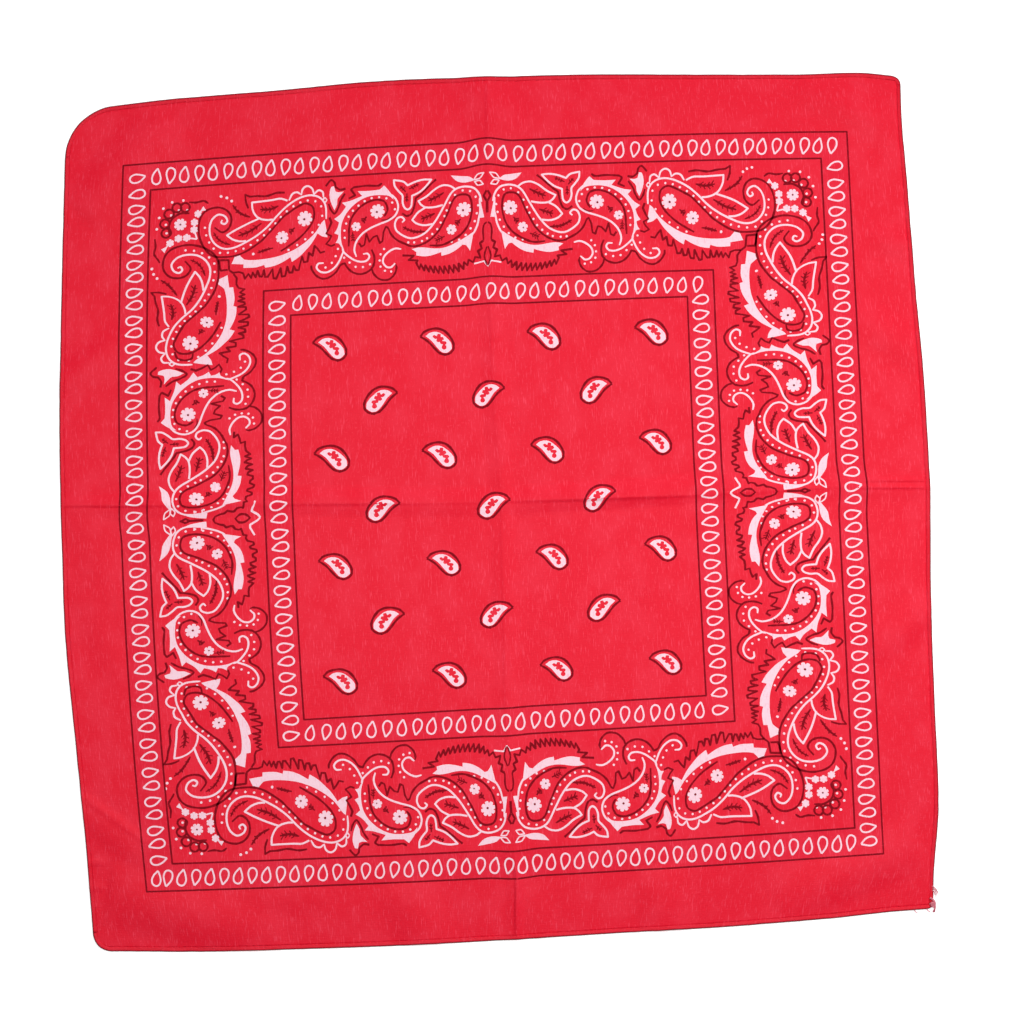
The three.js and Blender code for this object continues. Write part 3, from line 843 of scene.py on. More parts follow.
    def draw_third_paisley(self) -> None:
        """The long paisley that curls round into the corner."""
        dark, white = self.dark, self.white
        white.line(((104.2, 190), (104.2, 197), (105.6, 201.4), (109, 204.6), (114, 205.9),
            (119.4, 205.2), (125, 203), (131, 199.3), (137, 193.9), (143, 187.6), (150, 182.4),
            (158, 178.2), (165, 175.5), (171, 175.4), (176, 178.3), (179.2, 183.5), (179.7, 190),
            (178, 195.2), (174.2, 198.2), (170.3, 197), (168.7, 193.9), (170.3, 191.8), (172.4, 192.8),
            (171.8, 194.6)))
        white.line(((103.4, 202.4), (104.8, 200.9), (106, 202.4), (104.8, 203.8), (103.4, 202.4)),
            width=1.0)
        white.line(((105.7, 204), (106.2, 207.6), (109, 208.8), (112, 206.4)))
        white.line(((112, 206.2), (113.2, 210.2), (116.3, 211.9), (119.4, 210.2), (120.6, 206.2)))
        white.line(((120.6, 206.6), (123.4, 208.2), (126.6, 207.2), (128.8, 203.4)))
        white.fill(((105.3, 189.5), (104.3, 183.6), (103.6, 178)), ((107, 178.8), (110, 180.9)),
            ((114, 174.8), (118, 170.5), (122, 166.8), (126.8, 163.8)), ((127.8, 166.9),), ((133, 163.9),
            (138.5, 161.8), (144, 161)), ((144.6, 162.9),), ((150, 161.6), (158, 161.7)), ((158, 164.1),),
            ((165.8, 164.9),), ((163.2, 170.8),), ((160.7, 170.6),), ((158.4, 168), (156.2, 166.9),
            (150, 166.5), (143, 166.9), (136, 167.9), (130, 169.7), (124, 172.2), (117, 176.6),
            (111.4, 181.7), (107.4, 187.6), (105.3, 189.5)))
        white.dots_along(((107.4, 198.4), (106.8, 192), (109.6, 185.8), (114, 181.2), (118.5, 177.4),
            (123.7, 174.2), (129, 171.6)), 7)
        white.dots(((151.8, 170.6),), 0.9)
        white.dots_along(((111.2, 201.9), (117.4, 202.6), (123.3, 200.7), (128.4, 197.8), (133.2, 194.3),
            (138.2, 188.9), (142, 185.2), (146.3, 181.3), (151, 178.4), (155.3, 175.7), (160.3, 174),
            (165.5, 172.9), (171.4, 172.4), (175.6, 174), (179.6, 179.2), (181.6, 183.4), (182.6, 190)),
            19)
        dark.line(((133.6, 171.6), (128, 174.8), (121.5, 179.2), (116, 184.5), (112.6, 189.6),
            (111.6, 195), (113, 199.2), (117.5, 201.2), (122.4, 199.4), (127.4, 196.6), (132.4, 193.4),
            (137, 188.6), (142, 183.4), (146, 179.4), (151, 176), (156.4, 172.9), (163, 170.6),
            (170, 170.2), (176, 170.9), (180.4, 174), (184.2, 180), (186.1, 187), (185.8, 193),
            (184, 198.5), (180, 202.2), (174, 203.4), (169.4, 201.8), (166.4, 198.2), (165.8, 193.4),
            (167.5, 189), (171.6, 186.8), (176.2, 190.2)))
        if self.upright:
            dark.line(((112.6, 189.6), (108.6, 190.4), (107.4, 194.6), (108.8, 199), (113, 200.6)))
        self.bloom((118.3, 191), 5.0, 8)
        self.bloom((133.2, 180), 4.2, 8)
        dark.sprig(((124.6, 186), (128, 183)), 2, 1.9, 1.9)
        dark.sprig(((138.6, 174), (143, 173.2), (148.6, 171.6)), 4, 1.2)
        dark.sprig(((166.4, 178.2), (171, 180), (174.6, 183), (176.8, 187)), 5, 1.3, 1.0)
        self.leaf(((129.8, 203.4), (134.4, 205.2), (141, 204.8), (153.2, 204.7)), ((152.8, 200),
            (150.6, 195.8), (147.6, 193.4), (143, 192.2), (139.4, 192.2)), vein=((135.4, 201),
            (141, 199.4), (147.4, 200)), barbs=4)
        self.leaf(((147.6, 194), (156, 190.9), (163, 187.7), (168.9, 184.2)), ((165.4, 181.3),
            (161, 179.7), (156.6, 179.6)), vein=((146.4, 190.8), (153.5, 186.4), (161.2, 183.8)), barbs=4)
        dark.line(((131, 209.2), (136.4, 209.6), (143, 208.2), (149, 208.9), (154, 209)), ((157, 210.6),),
            ((156.8, 206), (155.2, 201.6)))
        dark.sprig(((153.8, 195.6), (158.4, 197.6), (162, 200.2), (165, 204.4)), 4, 1.3)
        white.dots(((166, 206.7), (168.8, 208.9), (172.3, 210)), 0.9)
        rough = ((105, 169.2), (108, 168.6), (109.8, 171.4), (111.7, 173.4), (113, 167.2), (115.4, 169),
            (116.4, 163.6), (118.8, 163.4), (119.8, 167.2), (121.4, 161.4), (122, 158.6), (124, 158.8),
            (125.2, 161.4), (126.2, 157.4), (128.2, 157.4), (129.3, 161.2), (130.8, 155.4), (133, 155),
            (133.6, 160.4), (135.4, 156.4), (136.6, 154), (138.4, 154.2), (138.8, 160.2), (140.8, 157.2),
            (142, 155.4), (143.8, 155.4), (144.3, 159.8), (145.8, 155.6), (147.2, 156), (148.4, 159.5),
            (149.8, 155.6), (151.5, 158.7), (152.7, 155.2), (154.3, 158), (156.5, 155), (157.7, 158.6),
            (160.4, 159.6), (164.2, 159.4), (166.6, 161.3))
        box = ((166.6, 161.3), (167.4, 168), (173.3, 168.3), (172.5, 163.4), (171.8, 161.4),
            (167.6, 161.6))
        dark.angular(rough, self.jagged)
        if not self.upright:
            dark.angular(box)


class CornerChart(Chart):
    """The flower, beaded chains and rings that fill one corner of the border."""

    RING_RADIUS = 2.9
    BEAD_RADIUS = 2.5
    APEX = (187.8, 183.6)

    def draw(self) -> None:
        """Draw the corner's motifs."""
        dark, white = self.dark, self.white
        self.bloom((198.2, 193.8), 3.9, 8, 0.39)
        for centre in ((195, 204.6), (200.4, 204.8), (205.3, 201.2), (207.6, 195), (206.6, 189)):
            angle = np.arange(0, 6.2, 0.6)
            spokes = self.RING_RADIUS * np.stack([np.cos(angle), np.sin(angle)], axis=-1)
            dark.line(np.array(centre) + spokes, closed=True)
        dark.line(((192.4, 200.6), (198, 201), (203, 198.2), (205, 193.4), (204.4, 186.8)))
        white.dots(((193.8, 202.7), (199.2, 203), (204, 200.2), (207, 194.4), (206.4, 188.9)), 0.8)
        white.dots(((196.1, 209.2), (203.4, 208.6), (208.9, 205), (211.2, 199.2), (212.4, 192)), 0.85)
        dark.line(((180, 206), (183, 207.9), (188, 207.2), (192.4, 207.8)))
        dark.line(((213.4, 185.6), (212.8, 180.4), (213.6, 176), (211, 172), (210, 170)))
        for beads, spike in (
            (
                ((189.7, 189.8), (189.4, 194.5), (186.9, 199.8)),
                ((183.3, 204.5), (181.6, 201.7), (185.5, 201.4)),
            ),
            (
                ((194.1, 185), (199.1, 184.9), (204.1, 182.3)),
                ((205.5, 180.6), (209.4, 178.7), (207.3, 176.2)),
            ),
        ):
            for bead in beads:
                white.flower(bead, self.BEAD_RADIUS, 6, 0.5)
            white.line((self.APEX, beads[0]), width=1.4)
            white.line((beads[2], tuple(np.mean(spike, axis=0))), width=1.2)
            white.polygon(np.array(spike))


class FieldPaisley(Chart):
    """The small paisley of the middle field, with its tail up to the right."""

    def draw(self) -> None:
        """Draw the outline and the white body with its bare sprig."""
        outline = ((12.4, 3.9), (9.2, 7.0), (2.8, 8.4), (-2.8, 6.8), (-6.7, 2.5), (-8.5, -2.4),
            (-7.2, -6.2), (-3.2, -8.0), (1.0, -6.7), (4.4, -3.1), (8.1, 1.0), (12.4, 3.9))
        self.dark.line(outline, width=1.4, taper=1.0)
        self.white.fill(((9.1, 4.0), (6, 6), (1.7, 6.2), (-2.3, 4), (-6.6, -0.6), (-7.2, -4.6)),
            ((-4, -6.9), (-0.6, -6.3), (2.3, -3.2), (5.5, 1.1), (9.1, 4.0)))
        self.white.bare(((4.6, 3.5), (3.4, 4.4), (2.0, 3.6), (1.2, 4.9), (-0.6, 4.6), (-0.6, 3.0),
            (-1.8, 2.9), (-2.4, 1.4), (-1.2, 0.5), (-3.2, 0.2), (-4.1, -0.9), (-3.2, -2.0), (-3.8, -3.2),
            (-3.4, -4.5), (-2.0, -4.9), (-0.8, -4.0), (-0.9, -2.7), (-1.6, -1.7), (-0.2, -1.2),
            (0.4, 0.0), (1.4, -0.2), (2.4, 0.8), (1.9, 2.0), (3.2, 2.0)))


class Teardrop(Chart):
    """The ring-shaped teardrop of the border rows, with its tip up and leaning right."""

    def draw(self) -> None:
        """Draw the ring with its sharp tip."""
        self.white.line(((1.4, 5.1), (2.5, 1.4), (2.75, -1.7), (1.5, -4.2), (-0.55, -4.75), (-2.5, -3.4),
            (-2.75, -0.6), (-1.4, 2.3), (1.4, 5.1)), width=1.1, taper=1.0)


# Films of ink


def inside(points: Points, ring: Points) -> Points:
    """Tell which points lie inside a simple polygon.

    Args:
        points: The points.
        ring: The polygon's corners.

    Returns:
        True for each point inside.
    """
    found = np.zeros(len(points), bool)
    near = np.flatnonzero(np.all((points > ring.min(axis=0)) & (points < ring.max(axis=0)), axis=1))
    x, y = points[near, 0, None], points[near, 1, None]
    a, b = ring, np.roll(ring, -1, axis=0)
    level = a[:, 1] == b[:, 1]
    rise = np.where(level, 1.0, b[:, 1] - a[:, 1])
    crossing = a[:, 0] + (b[:, 0] - a[:, 0]) * (y - a[:, 1]) / rise
    found[near] = np.sum(((a[:, 1] > y) != (b[:, 1] > y)) & (x < crossing), axis=1) % 2 == 1
    return found


@dataclass
class Film:
    """A thin film of ink: triangles on the flat cloth, anticlockwise, with their points in millimetres."""

    points: Points
    triangles: Points

    @classmethod
    def drawn(cls, pen: Pen, lattice: Points | None = None) -> "Film":
        """Join a pen's shapes into one film.

        Args:
            pen: The pen whose shapes are joined, less its holes.
            lattice: More points for the film, so that it can bend over a fold.

        Returns:
            The film.
        """
        rings = [*pen.shapes, *pen.holes]
        corners = np.concatenate(rings if lattice is None else [*rings, lattice])
        starts = np.cumsum([0] + [len(ring) for ring in rings])
        edges = [list(range(start, end)) for start, end in zip(starts[:-1], starts[1:])]
        found = delaunay_2d_cdt([Vector(p) for p in corners], [], edges, 0, 1e-3, False)
        points, faces = np.array([tuple(p) for p in found[0]]), np.array(found[2])
        middles = points[faces].mean(axis=1)
        order = np.argsort(middles[:, 0])
        faces, middles = faces[order], middles[order]
        inked = np.zeros(len(faces), bool)
        for ring, ink in [(shape, True) for shape in pen.shapes] + [(hole, False) for hole in pen.holes]:
            first, last = np.searchsorted(middles[:, 0], (ring[:, 0].min(), ring[:, 0].max()))
            inked[first:last][inside(middles[first:last], ring)] = ink
        used, triangles = np.unique(faces[inked], return_inverse=True)
        return cls(points[used], triangles.reshape(-1, 3))

    @classmethod
    def together(cls, films: list["Film"]) -> "Film":
        """Put several films in one."""
        starts = np.cumsum([0] + [len(film.points) for film in films[:-1]])
        triangles = [film.triangles + start for film, start in zip(films, starts)]
        return cls(np.concatenate([film.points for film in films]), np.concatenate(triangles))

    def moved(self, points: Points, flipped: bool = False) -> "Film":
        """The same film with its points elsewhere, flipped if they are mirrored."""
        return Film(points, self.triangles[:, ::-1] if flipped else self.triangles)

    def slab(self, low: float, high: float) -> tuple[Points, list[list[int]]]:
        """Give the film its thickness.

        Args:
            low: Height of its underside.
            high: Height of its face.

        Returns:
            Points (u, v, height) in millimetres, and the closed slab's faces.
        """
        count = len(self.points)
        t = self.triangles
        edges = np.concatenate([t[:, [0, 1]], t[:, [1, 2]], t[:, [2, 0]]])
        one_way, other_way = edges[:, 0] * count + edges[:, 1], edges[:, 1] * count + edges[:, 0]
        rim = edges[~np.isin(one_way, other_way)]
        walls = np.stack([rim[:, 0], rim[:, 1], rim[:, 1] + count, rim[:, 0] + count], axis=-1)
        flat = np.vstack([self.points, self.points])
        heights = np.repeat([low, high], count)
        faces = (t + count).tolist() + t[:, ::-1].tolist() + walls.tolist()
        return np.column_stack([flat, heights]), faces


# Finishes


def linear(hex_colour: str) -> tuple[float, float, float, float]:
    """Linear colour of an sRGB hex value."""
    parts = [int(hex_colour[i : i + 2], 16) / 255 for i in (1, 3, 5)]
    r, g, b = (c / 12.92 if c <= 0.04045 else ((c + 0.055) / 1.055) ** 2.4 for c in parts)
    return (r, g, b, 1.0)


def add_node(
    tree: Tree, kind: str, inputs: dict[str | int, object] | None = None, **settings: object
) -> bpy.types.Node:
    """Add a node with its settings and links.

    Args:
        tree: The node tree that it goes into.
        kind: The node's type.
        inputs: A value or an output socket for each input, by name or place.
        **settings: The node's own properties.

    Returns:
        The new node.
    """
    node = tree.nodes.new(kind)
    for name, value in settings.items():
        setattr(node, name, value)
    for name, value in (inputs or {}).items():
        if isinstance(value, Socket):
            tree.links.new(value, node.inputs[name])
        else:
            node.inputs[name].default_value = value
    return node


@dataclass(frozen=True)
class Marks:
    """Marks that yarn, print and fibre leave on the cloth, read from noise.

    Attributes:
        width: A mark's size along u, in metres.
        length: Its size along v.
        shift: Moves the pattern, so that two of them differ.
        low: Noise below which there is no mark.
        high: Noise above which it is full.
        top: Its full strength.
        detail: The noise's detail.
    """

    width: float
    length: float
    shift: float
    low: float = 0.0
    high: float = 1.0
    top: float = 1.0
    detail: float = 1.0


# The yarns of a cotton lawn lie about 0.4 mm apart, which is finer than the render shows, so the weave is
# drawn with yarns of 0.8 mm, each on top for 4.5 mm
WARP = Marks(0.0008, 0.0045, 3.1)
WEFT = Marks(0.0045, 0.0008, 9.7)
SLUBS = Marks(0.0007, 0.006, 1.3, 0.56, 0.74, detail=1.5)
SPECKS = Marks(0.0017, 0.0015, 5.9, 0.6, 0.8, 0.7)
MOTTLE = Marks(0.016, 0.021, 8.3, 0.4, 0.66, 0.3, 2.5)
MISSED_YARNS = Marks(0.0007, 0.0032, 7.7, 0.56, 0.68, detail=1.5)
THIN_INK = Marks(0.0035, 0.0005, 2.9, 0.58, 0.72, 0.7)


def new_material(name: str) -> Material:
    """A material with an empty tree."""
    material = bpy.data.materials.new(name)
    material.use_nodes = True
    material.node_tree.nodes.clear()
    return material


@dataclass(frozen=True, kw_only=True)
class CottonSurface:
    """Plain-weave cotton, which gives the eye a dry, matt surface with a fine weave and hardly any gloss.

    Attributes:
        name: The material's name.
        colour: Main colour, sRGB hex.
        pale: Colour of its pale marks.
        roughness: The surface's roughness.
        gloss: The level of its weak reflection.
    """

    name: str
    colour: str
    pale: str
    roughness: float = 0.55
    gloss: float = 0.15

    def noise(self, tree: Tree, marks: Marks) -> Socket:
        """Noise stretched along the weave, from 0 to 1."""
        uv = add_node(tree, "ShaderNodeUVMap", uv_map=FLAT_MAP)
        shift = marks.shift
        size = {"Location": (shift, shift * 1.7, shift), "Scale": (1 / marks.width, 1 / marks.length, 1)}
        place = add_node(tree, "ShaderNodeMapping", {"Vector": uv.outputs[0], **size})
        seen = {"Vector": place.outputs[0], "Scale": 1.0, "Detail": marks.detail}
        return add_node(tree, "ShaderNodeTexNoise", seen).outputs["Fac"]

    def strength(self, tree: Tree, marks: Marks, share: float = 1.0) -> Socket:
        """How strong the marks are at each place, as a share of their full strength."""
        reach = {"From Min": marks.low, "From Max": marks.high, "To Min": 0.0, "To Max": marks.top * share}
        inputs = {"Value": self.noise(tree, marks), **reach}
        return add_node(tree, "ShaderNodeMapRange", inputs, interpolation_type="SMOOTHSTEP").outputs[0]

    def weave(self, tree: Tree) -> Socket:
        """The weave's bump, as a normal."""
        yarns = {0: self.noise(tree, WARP), 1: self.noise(tree, WEFT)}
        both = add_node(tree, "ShaderNodeMath", yarns, operation="ADD")
        bump = {"Height": both.outputs[0], "Strength": 0.35, "Distance": 0.0003}
        return add_node(tree, "ShaderNodeBump", bump).outputs[0]

    def paint(self, tree: Tree) -> Socket:
        """The surface's colour."""
        raise NotImplementedError

    def make(self) -> Material:
        """Build the material."""
        material = new_material(self.name)
        tree = material.node_tree
        look = {
            "Base Color": self.paint(tree),
            "Normal": self.weave(tree),
            "Roughness": self.roughness,
            "Specular IOR Level": self.gloss,
            "Sheen Weight": 0.03,
            "Sheen Roughness": 0.6,
        }
        shader = add_node(tree, "ShaderNodeBsdfPrincipled", look)
        add_node(tree, "ShaderNodeOutputMaterial", {"Surface": shader.outputs[0]})
        return material


@dataclass(frozen=True, kw_only=True)
class CottonFinish(CottonSurface):
    """Dyed cotton lawn woven from slightly uneven spun yarn.

    The eye sees thicker and thinner yarns as fine pale streaks along the warp, with a faint bloom of
    fibre ends.

    Attributes:
        painted_shade: Colour of the painted shade on the rolled edge, where the hem turns under.
        strip: Colour between the border's rules.
        streak: Strength of the pale streaks.
    """

    painted_shade: str
    strip: str
    streak: float = 0.36

    def paint(self, tree: Tree) -> Socket:
        """The cloth's colour, with its streaks, its strips between the rules and painted shade on its
        rolled edge.
        """
        marks = {0: self.strength(tree, SLUBS), 1: self.strength(tree, SPECKS)}
        both = add_node(tree, "ShaderNodeMath", marks, operation="MAXIMUM")
        mottled = {0: both.outputs[0], 1: self.strength(tree, MOTTLE)}
        marked = add_node(tree, "ShaderNodeMath", mottled, operation="ADD")
        weighed = {0: marked.outputs[0], 1: self.streak}
        amount = add_node(tree, "ShaderNodeMath", weighed, operation="MULTIPLY")
        uv = add_node(tree, "ShaderNodeUVMap", uv_map=FLAT_MAP)
        parts = add_node(tree, "ShaderNodeSeparateXYZ", {0: uv.outputs[0]})
        away = {
            i: add_node(tree, "ShaderNodeMath", {0: parts.outputs[i]}, operation="ABSOLUTE").outputs[0]
            for i in range(2)
        }
        half = add_node(tree, "ShaderNodeMath", away, operation="MAXIMUM")
        colour = linear(self.colour)
        for outer, inner in (RULES[2:], RULES[:2]):
            middle, reach = (inner + outer) / 2 * MM, (outer - inner) / 2 * MM
            within = {0: half.outputs[0], 1: middle, 2: reach}
            share = add_node(tree, "ShaderNodeMath", within, operation="COMPARE")
            mix = {0: share.outputs[0], 6: colour, 7: linear(self.strip)}
            colour = add_node(tree, "ShaderNodeMix", mix, data_type="RGBA").outputs[2]
        mix = {0: amount.outputs[0], 6: colour, 7: linear(self.pale)}
        streaked = add_node(tree, "ShaderNodeMix", mix, data_type="RGBA")
        # Painted shade: the rim attribute darkens the colour towards the shade colour round the hem's
        # turned edge
        rim = add_node(tree, "ShaderNodeAttribute", attribute_name="rim")
        mix = {0: rim.outputs["Fac"], 6: streaked.outputs[2], 7: linear(self.painted_shade)}
        return add_node(tree, "ShaderNodeMix", mix, data_type="RGBA").outputs[2]


@dataclass(frozen=True, kw_only=True)
class InkFinish(CottonSurface):
    """Pigment ink screen-printed on the cotton: matt, and broken where it missed the low yarns.

    Attributes:
        breaks: How much of the pale colour shows in the breaks.
    """

    breaks: float = 0.45

    def paint(self, tree: Tree) -> Socket:
        """The ink's colour, with the cloth's in its breaks."""
        marks = {i: self.strength(tree, one, self.breaks) for i, one in enumerate((MISSED_YARNS, THIN_INK))}
        both = add_node(tree, "ShaderNodeMath", marks, operation="MAXIMUM")
        mix = {0: both.outputs[0], 6: linear(self.colour), 7: linear(self.pale)}
        return add_node(tree, "ShaderNodeMix", mix, data_type="RGBA").outputs[2]


# Each finish's shade colour is painted shade for the hem's turned edge; the printed cloth has no rim
# attribute, so its painted shade never shows
PRINTED_COTTON = CottonFinish(
    name="printed_plain_weave_cotton", colour="#DE0D2B", pale="#F24C64", painted_shade="#80101E", strip="#DA0E2E"
)
HEM_COTTON = CottonFinish(
    name="rolled_hem_cotton", colour="#D60D28", pale="#E63E56", painted_shade="#600A16", strip="#DA0D28"
)
WHITE_INK = InkFinish(name="white_pigment_ink_on_cotton", colour="#F0CAD6", pale="#EA5C74", breaks=0.22)
DARK_INK = InkFinish(
    name="dark_pigment_ink_on_cotton", colour="#7A0A18", pale="#B01426", roughness=0.8, gloss=0.05
)


@dataclass(frozen=True)
class ThreadFinish:
    """Spun cotton sewing thread: dull, with a faint twist that the eye sees as soft light and dark.

    The thread is about 0.25 mm thick, so its twist is drawn as coarse mottling of 0.6 mm.

    Attributes:
        name: The material's name.
        colour: Main colour, sRGB hex.
        pale: Colour of the light side of the twist.
    """

    name: str
    colour: str
    pale: str

    def make(self) -> Material:
        """Build the material."""
        material = new_material(self.name)
        tree = material.node_tree
        place = add_node(tree, "ShaderNodeTexCoord")
        twist = add_node(tree, "ShaderNodeTexNoise", {"Vector": place.outputs["Object"], "Scale": 1600.0})
        mix = {0: twist.outputs["Fac"], 6: linear(self.colour), 7: linear(self.pale)}
        colour = add_node(tree, "ShaderNodeMix", mix, data_type="RGBA")
        relief = {"Height": twist.outputs["Fac"], "Strength": 0.4, "Distance": 0.0001}
        bump = add_node(tree, "ShaderNodeBump", relief)
        look = {"Base Color": colour.outputs[2], "Normal": bump.outputs[0], "Roughness": 0.8}
        shader = add_node(tree, "ShaderNodeBsdfPrincipled", {**look, "Specular IOR Level": 0.3})
        add_node(tree, "ShaderNodeOutputMaterial", {"Surface": shader.outputs[0]})
        return material


HEM_THREAD = ThreadFinish(name="red_cotton_sewing_thread", colour="#CC1830", pale="#DC2640")
FRAYED_THREAD = ThreadFinish(name="frayed_cotton_thread", colour="#A83A4C", pale="#E8909E")


# Building meshes


def in_scene(name: str, data: bpy.types.ID) -> Piece:
    """Put data in the scene as an object at the origin."""
    thing = bpy.data.objects.new(name, data)
    bpy.context.scene.collection.objects.link(thing)
    return thing


def new_object(
    name: str, places: Points, faces: list, material: Material | None = None
) -> Piece:
    """Make a mesh object in the scene.

    Args:
        name: The object's name.
        places: Points in metres, in the row frame.
        faces: Each face's points.
        material: Its material, if any.

    Returns:
        The object, at the origin.
    """
    mesh = bpy.data.meshes.new(name)
    mesh.from_pydata(places.tolist(), [], faces)
    if material is not None:
        mesh.materials.append(material)
    return in_scene(name, mesh)


def map_flat(mesh: bpy.types.Mesh, flat: Points) -> None:
    """Give a mesh its two maps from each point's place on the flat cloth, in millimetres."""
    corners = np.empty(len(mesh.loops), dtype=np.int32)
    mesh.loops.foreach_get("vertex_index", corners)
    at = flat[corners]
    for name, values in ((FLAT_MAP, at * MM), (BAKE_MAP, at / (CUT_SIDE + 4) + 0.5)):
        layer = mesh.uv_layers.new(name=name)
        layer.data.foreach_set("uv", values.astype(np.float32).ravel())


def turn_out(piece: Piece) -> None:
    """Turn a closed mesh's faces outwards."""
    mesh = bmesh.new()
    mesh.from_mesh(piece.data)
    bmesh.ops.recalc_face_normals(mesh, faces=mesh.faces)
    mesh.to_mesh(piece.data)
    mesh.free()


def shade_smooth(piece: Piece) -> None:
    """Shade every face smooth."""
    piece.data.polygons.foreach_set("use_smooth", [True] * len(piece.data.polygons))


def tube_faces(first: int, rings: int, sides: int) -> list[list[int]]:
    """Faces of a closed tube.

    Args:
        first: Number of its first point, after which its rings of points follow each other.
        rings: How many rings there are.
        sides: Points in each ring.

    Returns:
        The faces along it and its two ends.
    """
    faces = []
    for a in range(first, first + (rings - 1) * sides, sides):
        b = a + sides
        for j in range(sides):
            k = (j + 1) % sides
            faces.append([a + j, a + k, b + k, b + j])
    last = first + (rings - 1) * sides
    return [*faces, list(range(first, first + sides))[::-1], list(range(last, last + sides))]


def growth_tree(name: str, sockets: dict[str, str]) -> tuple[Tree, bpy.types.NodeOutputs]:
    """Start a Geometry Nodes tree.

    Args:
        name: The tree's name.
        sockets: The kind of each input of its own, by name.

    Returns:
        The tree, and its inputs' values.
    """
    tree = bpy.data.node_groups.new(name, "GeometryNodeTree")
    tree.interface.new_socket("Geometry", in_out="OUTPUT", socket_type="NodeSocketGeometry")
    for label, kind in {"Geometry": "Geometry", **sockets, "Seed": "Int", "Material": "Material"}.items():
        tree.interface.new_socket(label, in_out="INPUT", socket_type=f"NodeSocket{kind}")
    return tree, add_node(tree, "NodeGroupInput").outputs


def random_turn(tree: Tree, spread: Socket, seed: Socket) -> Socket:
    """A random value for each point, from -spread to spread."""
    low = add_node(tree, "ShaderNodeMath", {0: spread, 1: -1.0}, operation="MULTIPLY")
    span = {2: low.outputs[0], 3: spread, "Seed": seed}
    return add_node(tree, "FunctionNodeRandomValue", span, data_type="FLOAT").outputs[1]


def hand_out(tree: Tree, copies: Socket, material: Socket) -> None:
    """End a tree: its copies are made real and given their material."""
    real = add_node(tree, "GeometryNodeRealizeInstances", {0: copies})
    dressed = add_node(tree, "GeometryNodeSetMaterial", {"Geometry": real.outputs[0], "Material": material})
    add_node(tree, "NodeGroupOutput", {0: dressed.outputs[0]})


@dataclass
class RepeatTree:
    """A Geometry Nodes tree that sets a motif at each point of a guide, in two hands."""

    name: str = "repeat_motif"
    size_seed_step: float = 7.0

    def build(self) -> Tree:
        """Build the tree."""
        motifs = {"Motif": "Object", "Mirrored Motif": "Object"}
        tree, given = growth_tree(self.name, {**motifs, "Lean Spread": "Float", "Size Spread": "Float"})
        lean = random_turn(tree, given["Lean Spread"], given["Seed"])
        turn = add_node(tree, "GeometryNodeInputNamedAttribute", {"Name": "turn"}, data_type="FLOAT")
        whole = add_node(tree, "ShaderNodeMath", {0: turn.outputs[0], 1: lean}, operation="ADD")
        angle = add_node(tree, "ShaderNodeCombineXYZ", {2: whole.outputs[0]})
        smallest = add_node(tree, "ShaderNodeMath", {0: 1.0, 1: given["Size Spread"]}, operation="SUBTRACT")
        largest = add_node(tree, "ShaderNodeMath", {0: 1.0, 1: given["Size Spread"]}, operation="ADD")
        seeds = {0: given["Seed"], 1: self.size_seed_step}
        other = add_node(tree, "ShaderNodeMath", seeds, operation="ADD")
        span = {2: smallest.outputs[0], 3: largest.outputs[0], "Seed": other.outputs[0]}
        size = add_node(tree, "FunctionNodeRandomValue", span, data_type="FLOAT")
        hand = add_node(tree, "GeometryNodeInputNamedAttribute", {"Name": "mirrored"}, data_type="BOOLEAN")
        straight = add_node(tree, "FunctionNodeBooleanMath", {0: hand.outputs[0]}, operation="NOT")
        joined = add_node(tree, "GeometryNodeJoinGeometry")
        pose = {"Points": given["Geometry"], "Rotation": angle.outputs[0], "Scale": size.outputs[1]}
        for label, chosen in (("Motif", straight.outputs[0]), ("Mirrored Motif", hand.outputs[0])):
            motif = add_node(tree, "GeometryNodeObjectInfo", {"Object": given[label]})
            inputs = {**pose, "Selection": chosen, "Instance": motif.outputs["Geometry"]}
            copies = add_node(tree, "GeometryNodeInstanceOnPoints", inputs)
            tree.links.new(copies.outputs[0], joined.inputs[0])
        hand_out(tree, joined.outputs[0], given["Material"])
        return tree


@dataclass
class StitchTree:
    """A Geometry Nodes tree that sets a stitch at even steps along a guide line."""

    name: str = "stitches_along_line"

    def build(self) -> Tree:
        """Build the tree."""
        tree, given = growth_tree(self.name, {"Stitch": "Object", "Pitch": "Float", "Wander": "Float"})
        line = add_node(tree, "GeometryNodeMeshToCurve", {0: given["Geometry"]})
        steps = {"Curve": line.outputs[0], "Length": given["Pitch"]}
        even = add_node(tree, "GeometryNodeResampleCurve", steps, mode="LENGTH")
        along = add_node(tree, "GeometryNodeInputTangent")
        facing = add_node(tree, "FunctionNodeAlignRotationToVector", {"Vector": along.outputs[0]}, axis="X")
        yaw = random_turn(tree, given["Wander"], given["Seed"])
        twist = add_node(tree, "ShaderNodeCombineXYZ", {2: yaw})
        both = {0: facing.outputs[0], 1: twist.outputs[0]}
        pose = add_node(tree, "FunctionNodeRotateRotation", both, rotation_space="LOCAL")
        stitch = add_node(tree, "GeometryNodeObjectInfo", {"Object": given["Stitch"]})
        where = {"Points": even.outputs[0], "Rotation": pose.outputs[0]}
        inputs = {**where, "Instance": stitch.outputs["Geometry"]}
        copies = add_node(tree, "GeometryNodeInstanceOnPoints", inputs)
        hand_out(tree, copies.outputs[0], given["Material"])
        return tree


